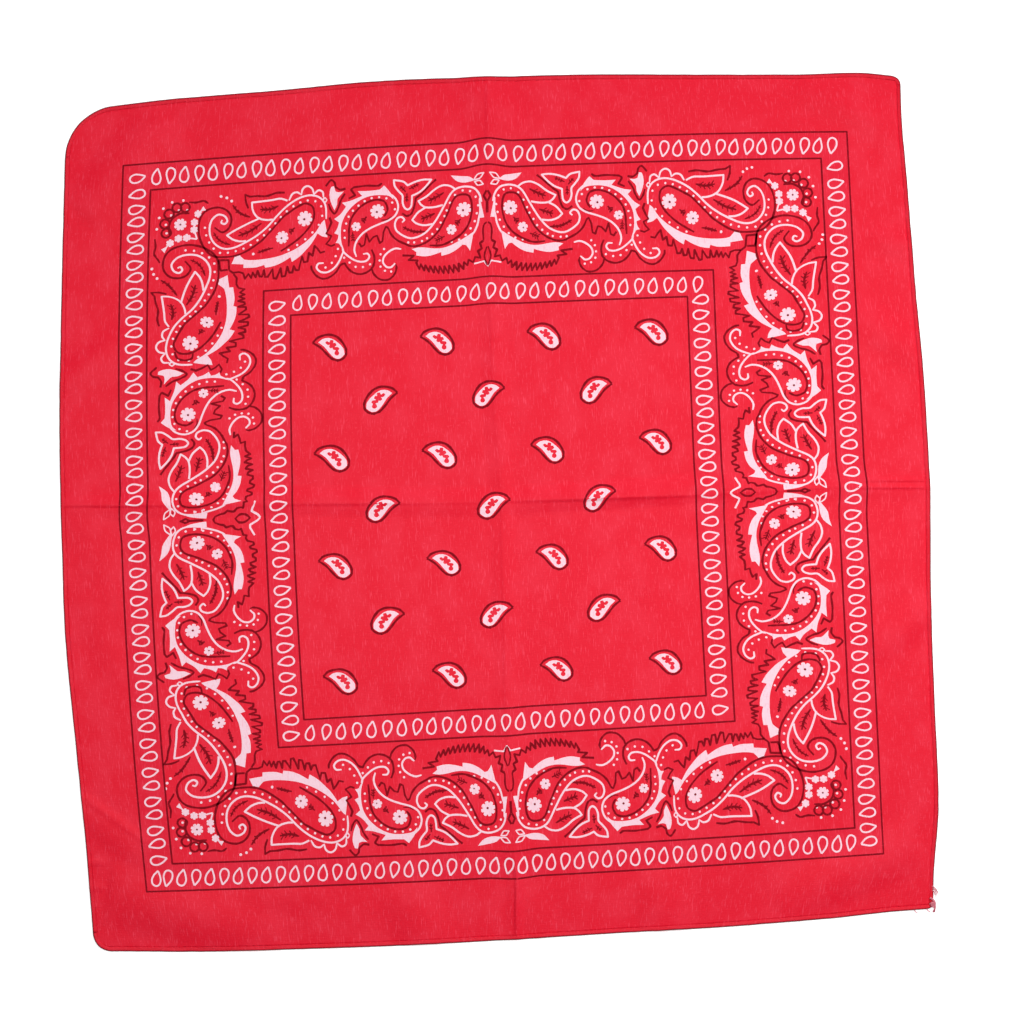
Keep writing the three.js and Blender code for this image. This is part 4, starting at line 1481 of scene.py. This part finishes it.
def grown(
    name: str, guide: Piece, tree: Tree, values: dict[str, object]
) -> Piece:
    """Run a Geometry Nodes tree on a guide and keep what it makes as a plain mesh.

    Args:
        name: The new piece's name.
        guide: The guide, which is removed.
        tree: The tree.
        values: A value for each named input; objects among them are removed.

    Returns:
        The new piece.
    """
    modifier = guide.modifiers.new("grow", "NODES")
    modifier.node_group = tree
    for item in tree.interface.items_tree:
        if item.in_out == "INPUT" and item.name in values:
            modifier[item.identifier] = values[item.name]
    graph = bpy.context.evaluated_depsgraph_get()
    mesh = bpy.data.meshes.new_from_object(guide.evaluated_get(graph))
    guide.modifiers.remove(modifier)
    mesh.name = name
    piece = in_scene(name, mesh)
    for spent in {guide, *(v for v in values.values() if isinstance(v, Piece))}:
        bpy.data.objects.remove(spent)
    return piece


# The pieces


@dataclass
class ClothPanel:
    """The square of printed cotton, as one closed thin shell.

    Attributes:
        form: The cloth's form.
        tuck: How far the panel runs in under the hem's inner edge, in millimetres.
    """

    form: ClothForm
    tuck: float = 0.4

    def flat_grid(self) -> Points:
        """Rows of points on the flat cloth, with the corners rounded."""
        inset = HEM_WIDTH - self.tuck
        reach = HALF - inset

        def lines(full: Points) -> Points:
            inner = full[np.abs(full) < reach - 1.0]
            return np.concatenate([[-reach], inner, [reach]])

        u, v = np.meshgrid(lines(self.form.lines_u), lines(self.form.lines_v))
        for name, (su, sv) in CORNERS.items():
            start = HALF - CORNER_RADIUS[name]
            arm = CORNER_RADIUS[name] - inset
            a, b = (su * u - start) / arm, (sv * v - start) / arm
            near = (a > 0) & (b > 0)
            round_a = a * np.sqrt(np.clip(1 - b**2 / 2, 0, None))
            round_b = b * np.sqrt(np.clip(1 - a**2 / 2, 0, None))
            u = np.where(near, su * (start + arm * round_a), u)
            v = np.where(near, sv * (start + arm * round_b), v)
        return np.stack([u, v], axis=-1)

    def build(self, material: Material) -> Piece:
        """Build the shell.

        Args:
            material: The cloth's material.

        Returns:
            The piece.
        """
        grid = self.flat_grid()
        rows, columns = grid.shape[:2]
        flat = grid.reshape(-1, 2)
        under = self.form.place(flat, 0.0)
        over = self.form.place(flat, self.form.wall)
        index = np.arange(rows * columns).reshape(rows, columns)
        corners = [index[:-1, :-1], index[:-1, 1:], index[1:, 1:], index[1:, :-1]]
        quads = np.stack(corners, axis=-1).reshape(-1, 4)
        count = rows * columns
        rim = np.concatenate([index[0, :-1], index[:-1, -1], index[-1, :0:-1], index[:0:-1, 0]])
        after = np.roll(rim, -1)
        walls = np.stack([rim, after, after + count, rim + count], axis=-1)
        faces = (quads + count).tolist() + quads[:, ::-1].tolist() + walls.tolist()
        piece = new_object("printed_cloth", np.vstack([under, over]), faces, material)
        map_flat(piece.data, np.vstack([flat, flat]))
        shade_smooth(piece)
        return piece


@dataclass
class RolledHems:
    """The four narrow rolled hems, each a closed roll with its puckers, and their stitching.

    Attributes:
        form: The cloth's form.
        rise: Height of the roll over the table, in millimetres.
        pucker: How far the roll's height varies between stitches.
        waver: How far the cut edge wavers sideways.
        line: How far in from the edge the stitches lie.
        pitch: Distance from stitch to stitch.
        stitch_length: Length of thread that shows in each stitch.
        stitch_share: Share of the rise at which the stitches lie.
        thread: The thread's thickness.
        dive: How far a stitch's ends dive.
        wander: Most that a stitch is turned, in radians.
    """

    form: ClothForm
    rise: float = 1.2
    pucker: float = 0.14
    waver: float = 0.16
    line: float = 2.3
    pitch: float = 3.0
    stitch_length: float = 2.2
    stitch_share: float = 0.78
    thread: float = 0.26
    dive: float = 0.22
    wander: float = 0.12

    # Each point of the roll's section: inset from the edge, share of the rise, and how deep the painted
    # shade is there
    SECTION = (
        (0.45, 0.0, 1.0), (0.12, 0.22, 1.0), (0.0, 0.5, 1.0), (0.12, 0.8, 1.0), (0.5, 0.97, 0.75),
        (1.0, 1.0, 0.15), (1.6, 0.94, 0.0), (2.1, 0.82, 0.0), (2.4, 0.76, 0.0), (2.7, 0.68, 0.0),
        (2.93, 0.56, 0.0), (3.0, 0.46, 0.0), (2.9, 0.14, 0.2), (2.6, 0.0, 0.0),
    )
    STEP = 2.0

    def spans(self) -> dict[Side, tuple[int, int]]:
        """First and last station of each hem; the top and bottom hems run round the corners."""
        names = list(CORNERS)
        starts, ends, at = [], [], 0
        for i, name in enumerate(names):
            arc = arc_steps(name, self.STEP) + 1
            straight = CUT_SIDE - CORNER_RADIUS[name] - CORNER_RADIUS[names[(i + 1) % 4]]
            starts.append(at)
            ends.append(at + arc - 1)
            at += arc + max(1, math.ceil(straight / self.STEP - 1e-9)) - 1
        return {
            Side.TOP: (starts[0], ends[1]),
            Side.RIGHT: (ends[1], starts[2]),
            Side.BOTTOM: (starts[2], ends[3]),
            Side.LEFT: (ends[3], at),
        }

    def uneven(self, count: int, seed: int, spread: int) -> Points:
        """Smooth random values round the ring, from about -1 to 1."""
        raw = np.random.default_rng(seed).normal(size=count)
        window = np.hanning(spread + 2)[1:-1]
        round_ring = np.concatenate([raw[-spread:], raw, raw[:spread]])
        smooth = np.convolve(round_ring, window, "same")[spread:-spread]
        return smooth / np.abs(smooth).max()

    def stations(self) -> tuple[Points, Points, Points]:
        """Stations round the edge: places on the cut edge, ways inward, and shares of the rise."""
        edge = self.form.cut_edge(0.0, self.STEP)
        inner = self.form.cut_edge(HEM_WIDTH, self.STEP)
        inward = (inner - edge) / HEM_WIDTH
        count = len(edge)
        shift = self.waver * (self.uneven(count, 11, 5) + 0.6 * self.uneven(count, 12, 23))
        swell = 1 + self.pucker / self.rise * (self.uneven(count, 13, 3) + self.uneven(count, 14, 15))
        return edge + inward * shift[:, None], inward, swell

    def build(self, side: Side, name: str, material: Material) -> Piece:
        """Build one hem.

        Args:
            side: The side that it runs along.
            name: The piece's name.
            material: Its material.

        Returns:
            The piece.
        """
        edge, inward, swell = self.stations()
        first, last = self.spans()[side]
        chosen = np.arange(first, last + 1) % len(edge)
        edge, inward, swell = edge[chosen], inward[chosen], swell[chosen]
        flats, places, painted_shades = [], [], []
        for inset, share, painted_shade_depth in self.SECTION:
            flat = edge + inward * inset
            flats.append(flat)
            places.append(self.form.place(flat, share * self.rise * swell))
            painted_shades.append(np.full(len(flat), painted_shade_depth))
        ring, count = len(self.SECTION), len(chosen)
        index = np.arange(ring * count).reshape(ring, count)
        around = np.roll(index, -1, axis=0)
        corners = [index[:, :-1], index[:, 1:], around[:, 1:], around[:, :-1]]
        quads = np.stack(corners, axis=-1).reshape(-1, 4)
        faces = quads.tolist() + [index[:, 0].tolist(), index[::-1, -1].tolist()]
        piece = new_object(name, np.concatenate(places), faces, material)
        turn_out(piece)
        map_flat(piece.data, np.concatenate(flats))
        # Painted shade: rim holds how dark each point is painted, darkest round the turned outer edge
        rim = piece.data.attributes.new("rim", "FLOAT", "POINT")
        rim.data.foreach_set("value", np.concatenate(painted_shades).astype(np.float32))
        shade_smooth(piece)
        return piece

    def stitch(self) -> Piece:
        """One stitch: a short thread that dives at both ends, lying along X."""
        half, thick = self.stitch_length / 2, self.thread / 2
        rings, sides = 5, 6
        places = []
        for i in range(rings):
            f = i / (rings - 1) * 2 - 1
            drop, size = -self.dive * f**2, thick * (1 - 0.45 * f**4)
            for j in range(sides):
                a = j * 2 * math.pi / sides
                places.append((half * f, size * math.cos(a), drop + size * math.sin(a)))
        piece = new_object("stitch_master", np.array(places) * MM, tube_faces(0, rings, sides))
        turn_out(piece)
        shade_smooth(piece)
        return piece

    def sew(self, material: Material) -> Piece:
        """Set the stitches along all four hems.

        Args:
            material: The thread's material.

        Returns:
            The piece.
        """
        edge, inward, swell = self.stations()
        flat = edge + inward * self.line
        places = self.form.place(flat, self.stitch_share * self.rise * swell + self.thread * 0.15)
        count = len(places)
        guide = in_scene("stitch_guide", bpy.data.meshes.new("stitch_guide"))
        guide.data.from_pydata(places.tolist(), [(i, (i + 1) % count) for i in range(count)], [])
        values = {"Stitch": self.stitch(), "Pitch": self.pitch * MM, "Wander": self.wander, "Seed": 5}
        return grown("hem_stitches", guide, StitchTree().build(), {**values, "Material": material})


@dataclass
class ThreadEnds:
    """The frayed end and the small knot that show at the bottom right corner.

    Attributes:
        strands: Each strand's points in the row frame, in millimetres, and its thickness.
        sides: Sides of a strand.
    """

    strands: tuple[tuple[Run, float], ...] = (
        (((278.2, -240.2, 0.9), (279.8, -241.2, 1.3), (281.2, -242.8, 1.1), (282.4, -245.2, 0.4)), 0.8),
        (((278.6, -241.4, 0.8), (280.2, -242.8, 1.1), (281.0, -244.8, 0.8), (280.8, -247.0, 0.4)), 0.7),
        (((278.4, -243.0, 0.8), (279.8, -244.0, 1.0), (280.2, -245.8, 0.5)), 0.65),
        (((277.0, -247.8, 1.2), (278.8, -248.8, 1.6), (280.0, -250.8, 1.7), (279.6, -253.2, 1.5),
          (278.0, -252.8, 1.8), (278.2, -250.8, 2.1), (279.8, -251.8, 1.9), (280.2, -254.4, 1.3),
          (279.0, -256.8, 0.6)), 1.5),
        (((276.8, -251.4, 1.2), (278.6, -252.4, 1.8), (280.0, -254.4, 1.4), (279.8, -257.0, 0.7)), 1.3),
        (((274.4, -253.8, 0.8), (275.8, -256.0, 0.9), (277.4, -257.0, 0.4)), 0.6),
        (((266.6, -254.4, 0.8), (267.6, -256.6, 0.8), (269.2, -257.6, 0.3)), 0.55),
    )
    sides: int = 7

    def build(self, material: Material) -> Piece:
        """Build the strands as closed tubes.

        Args:
            material: The thread's material.

        Returns:
            The piece.
        """
        places, faces = [], []
        for run, thickness in self.strands:
            path = spline(run, fine=5)
            ahead = np.gradient(path, axis=0)
            ahead /= np.linalg.norm(ahead, axis=1)[:, None]
            side = np.cross(ahead, (0.0, 0.0, 1.0))
            side /= np.linalg.norm(side, axis=1)[:, None]
            up = np.cross(side, ahead)
            start = len(places)
            for i, point in enumerate(path):
                size = thickness / 2 * (1 - 0.35 * (i / (len(path) - 1)) ** 3)
                for j in range(self.sides):
                    a = j * 2 * math.pi / self.sides
                    places.append(point + size * (math.cos(a) * side[i] + math.sin(a) * up[i]))
            faces += tube_faces(start, len(path), self.sides)
        piece = new_object("hem_thread_ends", np.array(places) * MM, faces, material)
        turn_out(piece)
        shade_smooth(piece)
        return piece


# How far the printed motifs lie along and outwards from the chart, at places along each side: two rows
# near the border's outer edge, at DRIFT_OUTER, and two near its inner edge, at DRIFT_INNER
DRIFT_PLACES = (-195, -160, -125, -90, -50, -20, -6, 6, 20, 50, 90, 125, 160, 195)
DRIFT_OUTER = 193.0
DRIFT_INNER = 167.0
DRIFT_SHARES = (-0.3, 1.4)
DRIFT = {
    Side.TOP: (
        (-0.7, 1, 0.6, -0.2, 0.6, -0.1, 0.3, 0.2, 0.1, -0.1, 0.6, -0.5, 0.3, -0.5),
        (0.1, -0.8, 0.1, -0.2, 0.2, 0.5, -0.7, -0.4, 0.2, -0.1, -0.7, 0.4, 2.1, 0.2),
        (0.1, -0.4, -0.2, 0, 0.1, -0.8, 0.5, -0.8, 0.3, -0.4, 0.2, 0.2, -0.6, 2.5),
        (0.5, 0.1, -0.1, 0.5, 0.1, 0.1, -1.5, -1.1, -0.5, -0.8, 0.1, -0.6, -0.1, 1.5),
    ),
    Side.RIGHT: (
        (5.6, 5.1, 2.3, 0.9, -0.3, -0.9, -1.4, -2.7, -3.7, -3.1, -3.7, -4.5, -7.9, -5.1),
        (3.2, 5.9, 0.4, 0.5, 0, -0.9, -2.6, -2.7, -1.2, -0.2, -1, 0.5, 4, 3.6),
        (3.5, 8.4, 3.9, 2.5, 1, 1.1, -1.7, -1.7, -4.3, -3, -4.7, -5.2, -9, -4.6),
        (4.5, 2.7, 0.4, -0.6, -0.6, -1.8, -3.7, -4.4, -1.6, -1, -2, 0, 2.4, 3.9),
    ),
    Side.BOTTOM: (
        (-0.1, 0.9, 1.6, -0.5, 0.2, 0, 0.5, -0.5, -0.5, -0.8, 0.3, -0.4, 0, 2.5),
        (0.2, 0.4, -1.1, -0.3, 0.4, -0.4, -1, -0.7, 0.7, 0.6, 0.7, 1.5, 2, 2.5),
        (-1.6, 1.3, 0.6, -0.2, 0.7, 0.2, 1.2, -0.7, -0.3, -0.6, -0.1, 0.2, -0.9, 3.5),
        (-0.1, -0.8, -1.1, 0.9, -0.2, -0.9, -2.1, -1.6, -0.2, 0.4, 1.2, 0.4, 0.1, 1.8),
    ),
    Side.LEFT: (
        (3, 5.2, 3.6, 2.6, 2.2, 2.4, 2.5, 1.6, 0.5, 0.3, -1.3, -2.1, -7, -5.9),
        (6.6, 5.2, 0.1, 0.9, -0.1, -1.9, -3.5, -4.5, -2.8, -0.6, -1.1, -0.4, 4.3, 4.7),
        (2.1, 9, 4.4, 3.3, 2.6, 2.8, 0.8, 2.4, -0.6, -0.5, -2.2, -4.3, -8, -5.9),
        (5.9, 2.2, 0.6, -0.2, -0.5, -2.5, -4.2, -6.3, -2.3, -1.2, -1.6, -0.5, 3.5, 4.4),
    ),
}
# How far each corner's motifs lie from the chart, by the signs of u and v
CORNER_SHIFT = {
    (-1, 1): (0.05, -0.65), (1, 1): (-0.15, -0.1), (1, -1): (0.1, 0.05), (-1, -1): (-1.9, -2.15),
}


def drifted(points: Points, side: Side) -> Points:
    """Move points of a side's chart to where that side's print has them."""
    p, q = points[:, 0], points[:, 1]
    share = np.clip((q - DRIFT_INNER) / (DRIFT_OUTER - DRIFT_INNER), *DRIFT_SHARES)
    rows = [np.interp(p, DRIFT_PLACES, row) for row in DRIFT[side]]
    along = rows[0] * share + rows[2] * (1 - share)
    out = rows[1] * share + rows[3] * (1 - share)
    return np.stack([p + along, q + out], axis=-1)


# How far the dark screen lies off the white one, along and outwards, on the upright and on the level sides
REGISTER = ((-0.3, 0.0), (0.4, -0.4))

# A rule's width, and how far apart its points stand, so that it can bend over a fold
RULE_WIDTH = 1.05
RULE_STEP = 1.25


@dataclass(frozen=True)
class DropLine:
    """One straight line of teardrops, from left to right or from top to bottom.

    Attributes:
        level: Whether it runs along u, or else along v.
        at: Its place on the other axis.
        count: How many drops it has.
        first_up: Whether its first drop points up or right, after which they take turns.
        places: Places of the first two drops, the quarters and the last two.
        sway: How far alternate drops stand off to either way.
    """

    level: bool
    at: float
    count: int
    first_up: bool
    places: tuple[float, ...]
    sway: float


DROP_LINES = (
    DropLine(True, 225.2, 48, True, (-212.7, -204.0, -104.1, 6.4, 117.7, 215.3, 224.0), -0.4),
    DropLine(True, -226.0, 50, True, (-227.3, -220.3, -119.5, -7.9, 101.5, 205.1, 213.8), -0.2),
    DropLine(False, -225.0, 49, True, (225.4, 214.4, 116.0, 7.6, -101.1, -204.2, -214.0), -0.5),
    DropLine(False, 225.3, 49, False, (211.5, 200.8, 102.1, -4.5, -114.3, -216.9, -226.1), 0.4),
    DropLine(True, 136.8, 28, True, (-124.0, -114.7, -58.5, 5.7, 71.1, 125.9, 135.5), -0.4),
    DropLine(True, -137.8, 27, True, (-125.3, -115.2, -61.6, -0.1, 61.6, 114.8, 124.3), -0.3),
    DropLine(False, -137.5, 31, True, (136.1, 125.8, 66.7, -0.5, -68.2, -129.4, -138.7), -0.4),
    DropLine(False, 137.2, 30, False, (126.7, 117.5, 59.9, -3.3, -68.7, -127.6, -138.2), 0.3),
)

# Rows of the middle field: height, whether the tails point left, and the places along
FIELD_ROWS = (
    (106.9, True, (-103.9, -34.1, 35.3, 105.3)),
    (72.5, False, (-74.3, -4.4, 65.5)),
    (36.2, True, (-103.2, -36.6, 33.5, 105.0)),
    (3.0, False, (-73.9, -4.8, 64.8)),
    (-32.7, True, (-103.2, -36.0, 33.2, 105.1)),
    (-68.0, False, (-74.5, -4.9, 64.1)),
    (-106.3, True, (-103.9, -34.3, 34.4, 104.4)),
)


def lattice(low: Place, high: Place, pitch: float = 1.1) -> Points:
    """Even points over a stretch of a chart, so that its film can bend over a fold."""
    x, y = np.meshgrid(*(np.arange(start, end, pitch) for start, end in zip(low, high)))
    return np.stack([x.ravel(), y.ravel()], axis=-1)


@dataclass
class Print:
    """The two-colour print: border, rules, teardrop rows and middle field.

    Attributes:
        form: The cloth's form.
        sunk: How far each film's underside lies below the cloth's face, in millimetres.
        size_spread: Share by which repeated motifs differ in size.
    """

    form: ClothForm
    sunk: float = 0.05
    size_spread: float = 0.03

    def finish(self, piece: Piece, flat: Points, heights: Points) -> Piece:
        """Carry a piece from the flat cloth to where it lies, and give it its maps."""
        places = self.form.place(flat, self.form.wall + heights)
        piece.data.vertices.foreach_set("co", places.astype(np.float32).ravel())
        map_flat(piece.data, flat)
        piece.data.update()
        return piece

    def film_piece(self, name: str, film: Film, ink: Ink, material: Material) -> Piece:
        """Make one piece of a film that lies on the flat cloth."""
        points, faces = film.slab(-self.sunk, ink.value)
        piece = new_object(name, points * MM, faces, material)
        return self.finish(piece, points[:, :2], points[:, 2])

    def border(self, ink: Ink, name: str, material: Material) -> Piece:
        """The border's large motifs in one ink, eight half sides and four corners."""
        pick = (lambda chart: chart.white) if ink is Ink.WHITE else (lambda chart: chart.dark)
        corner = CornerChart()
        corner.draw()
        corner_film = Film.drawn(pick(corner))
        near_fold = lattice((0.53, 150.07), (19, 214))
        films = []
        for level in (True, False):
            half = BorderHalf(upright=not level)
            half.draw()
            side_film = Film.drawn(pick(half), near_fold)
            if ink is Ink.DARK:
                side_film = side_film.moved(side_film.points + np.array(REGISTER[level]))
            for side in (Side.TOP, Side.BOTTOM) if level else (Side.LEFT, Side.RIGHT):
                for hand in (-1, 1):
                    points = turned(drifted(side_film.points * (hand, 1), side), side)
                    films.append(side_film.moved(points, hand < 0))
        for su in (-1, 1):
            for sv in (-1, 1):
                points = corner_film.points * (su, sv) + np.array(CORNER_SHIFT[su, sv])
                films.append(corner_film.moved(points, su * sv < 0))
        return self.film_piece(name, Film.together(films), ink, material)

    def rules(self, name: str, material: Material) -> Piece:
        """The four thin dark squares."""
        pen = Pen()
        for half in RULES:
            count = math.ceil(2 * half / RULE_STEP)
            run = np.linspace(-half, half, count + 1)[:-1]
            top = np.stack([run, np.full(count, half)], axis=-1)
            pen.ribbon(np.concatenate([turned(top, side) for side in Side]), RULE_WIDTH, closed=True)
        return self.film_piece(name, Film.drawn(pen), Ink.DARK, material)

    def guide(self, places: list[Place], turns: list[float], mirrored: list[bool]) -> Piece:
        """Points on the flat cloth, in metres, for the repeat tree."""
        mesh = bpy.data.meshes.new("motif_guide")
        mesh.from_pydata([(u * MM, v * MM, 0) for u, v in places], [], [])
        mesh.attributes.new("turn", "FLOAT", "POINT").data.foreach_set("value", turns)
        mesh.attributes.new("mirrored", "BOOLEAN", "POINT").data.foreach_set("value", mirrored)
        return in_scene("motif_guide", mesh)

    def repeated(
        self, name: str, film: Film, other: Film, ink: Ink, places: tuple, lean: float, material: Material
    ) -> Piece:
        """Repeat a motif over the flat cloth and carry it to where the cloth lies.

        Args:
            name: The piece's name.
            film: The motif.
            other: The motif in its other hand.
            ink: The ink.
            places: Places, turns and hands of the copies.
            lean: Most that a copy is turned, in radians.
            material: The ink's material.

        Returns:
            The piece.
        """
        masters = []
        for label, one in (("motif", film), ("motif_mirrored", other)):
            points, faces = one.slab(-self.sunk, ink.value)
            masters.append(new_object(label, points * MM, faces))
        values = {
            "Motif": masters[0],
            "Mirrored Motif": masters[1],
            "Lean Spread": lean,
            "Size Spread": self.size_spread,
            "Seed": 3,
            "Material": material,
        }
        piece = grown(name, self.guide(*places), RepeatTree().build(), values)
        found = np.empty(len(piece.data.vertices) * 3, dtype=np.float32)
        piece.data.vertices.foreach_get("co", found)
        found = found.reshape(-1, 3).astype(float) / MM
        heights = np.where(found[:, 2] > 0, ink.value, -self.sunk)
        return self.finish(piece, found[:, :2], heights)

    def drop_places(self) -> tuple[list, list, list]:
        """Places, turns and hands of the teardrops."""
        places, turns, mirrored = [], [], []
        for line in DROP_LINES:
            last = line.count - 1
            known = (0, 1, last / 4, last / 2, last * 3 / 4, last - 1, last)
            for k in range(line.count):
                along = float(np.interp(k, known, line.places)) + line.sway * (-1) ** k
                places.append((along, line.at) if line.level else (line.at, along))
                turns.append(0.0 if line.first_up == (k % 2 == 0) else math.pi)
                mirrored.append(not line.level)
        return places, turns, mirrored

    def teardrops(self, name: str, material: Material) -> Piece:
        """The two square rows of teardrops."""
        chart = Teardrop()
        chart.draw()
        film = Film.drawn(chart.white)
        across = film.moved(film.points[:, ::-1], True)
        return self.repeated(name, film, across, Ink.WHITE, self.drop_places(), 0.05, material)

    def field(self, ink: Ink, name: str, material: Material) -> Piece:
        """The small paisleys of the middle field in one ink."""
        chart = FieldPaisley()
        chart.draw()
        spread = lattice((-9.13, -9.07), (14, 10))
        film = Film.drawn(chart.white if ink is Ink.WHITE else chart.dark, spread)
        other = film.moved(film.points * (-1, 1), True)
        places = [(u + (1.0 if left else -1.0), v + 0.35) for v, left, row in FIELD_ROWS for u in row]
        hands = [left for _, left, row in FIELD_ROWS for _ in row]
        return self.repeated(name, film, other, ink, (places, [0.0] * len(places), hands), 0.03, material)


# Studio


@dataclass(frozen=True)
class Lamp:
    """A soft lamp aimed at the cloth's middle: its size along the table's Y and X, and its power."""

    name: str
    place: tuple[float, float, float]
    size: Place
    power: float

    def hang(self) -> None:
        """Put the lamp in the scene."""
        data = bpy.data.lights.new(self.name, "AREA")
        data.shape = "RECTANGLE"
        data.size, data.size_y = self.size
        data.energy = self.power
        lamp = in_scene(self.name, data)
        lamp.location = self.place
        lamp.rotation_euler = (-Vector(self.place)).to_track_quat("-Z", "Y").to_euler()


@dataclass
class Studio:
    """The pale table, the soft lights and the camera straight above.

    Attributes:
        height: The camera's height over the table, in metres.
        view_width: Width of the table that the picture shows.
        centre: The table's point at the picture's middle.
        table_half: Half the table's side.
        table_drop: How far the table lies below the cloth, so that the two don't flicker.
        table_glow: The table's own light, which keeps it near white.
        ambient: Strength of the light from all round.
        lamps: The lamps.
    """

    height: float = 3.0
    view_width: float = 0.6584
    centre: Place = (0.00834, 0.00020)
    table_half: float = 8.0
    table_drop: float = 0.0004
    table_glow: float = 0.55
    ambient: float = 0.125
    lamps: tuple[Lamp, ...] = (
        Lamp("overhead", (0.16, 0.01, 0.8), (0.35, 1.6), 8.7),
        Lamp("window", (0.9, 2.7, 2.1), (1.0, 1.0), 51.0),
    )

    def floor(self) -> None:
        """The plain pale table."""
        material = bpy.data.materials.new("matt_white_table")
        material.use_nodes = True
        shader = material.node_tree.nodes["Principled BSDF"]
        for name, value in {
            "Base Color": linear("#F4F4F4"),
            "Roughness": 0.9,
            "Specular IOR Level": 0.1,
            "Emission Color": (1, 1, 1, 1),
            "Emission Strength": self.table_glow,
        }.items():
            shader.inputs[name].default_value = value
        signs = np.array([(-1, -1), (1, -1), (1, 1), (-1, 1)])
        corners = np.column_stack([signs * self.table_half, [-self.table_drop] * 4])
        new_object("table", corners, [[0, 1, 2, 3]], material)

    def build(self) -> None:
        """Set the table, lights, world and camera."""
        self.floor()
        for lamp in self.lamps:
            lamp.hang()
        world = bpy.data.worlds.new("studio")
        world.use_nodes = True
        light = world.node_tree.nodes["Background"].inputs
        light["Color"].default_value = (1, 1, 1, 1)
        light["Strength"].default_value = self.ambient
        bpy.context.scene.world = world
        data = bpy.data.cameras.new("overhead_camera")
        data.lens = data.sensor_width * self.height / self.view_width
        data.clip_end = 50.0
        camera = in_scene("overhead_camera", data)
        camera.location = (*self.centre, self.height)
        bpy.context.scene.camera = camera
        bpy.context.scene.view_settings.view_transform = "Standard"


def main() -> None:
    """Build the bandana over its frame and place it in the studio."""
    logging.basicConfig(level=logging.INFO, format="%(name)s: %(message)s")
    form = ClothForm()
    cotton, hem_cotton = PRINTED_COTTON.make(), HEM_COTTON.make()
    white, dark = WHITE_INK.make(), DARK_INK.make()
    cloth = ClothPanel(form).build(cotton)
    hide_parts("cloth")
    hems = RolledHems(form)
    hem_pieces = []
    for side in Side:
        node = f"hem_{side.name.lower()}"
        piece = hems.build(side, f"rolled_{node}", hem_cotton)
        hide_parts(node)
        hem_pieces.append(piece)
    hem_pieces.append(hems.sew(HEM_THREAD.make()))
    hem_pieces.append(ThreadEnds().build(FRAYED_THREAD.make()))
    design = Print(form)
    inks = [
        design.border(Ink.WHITE, "print_border_white", white),
        design.border(Ink.DARK, "print_border_dark", dark),
        design.rules("print_rules_dark", dark),
        design.teardrops("print_teardrops_white", white),
        design.field(Ink.WHITE, "print_field_white", white),
        design.field(Ink.DARK, "print_field_dark", dark),
    ]
    for piece in (cloth, *hem_pieces, *inks):
        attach(piece, BODY)
        count = sum(len(face.vertices) - 2 for face in piece.data.polygons)
        log.info("%s: %d triangles", piece.name, count)
    side = CUT_SIDE * MM
    Studio().build()


if __name__ == "__main__":
    main()
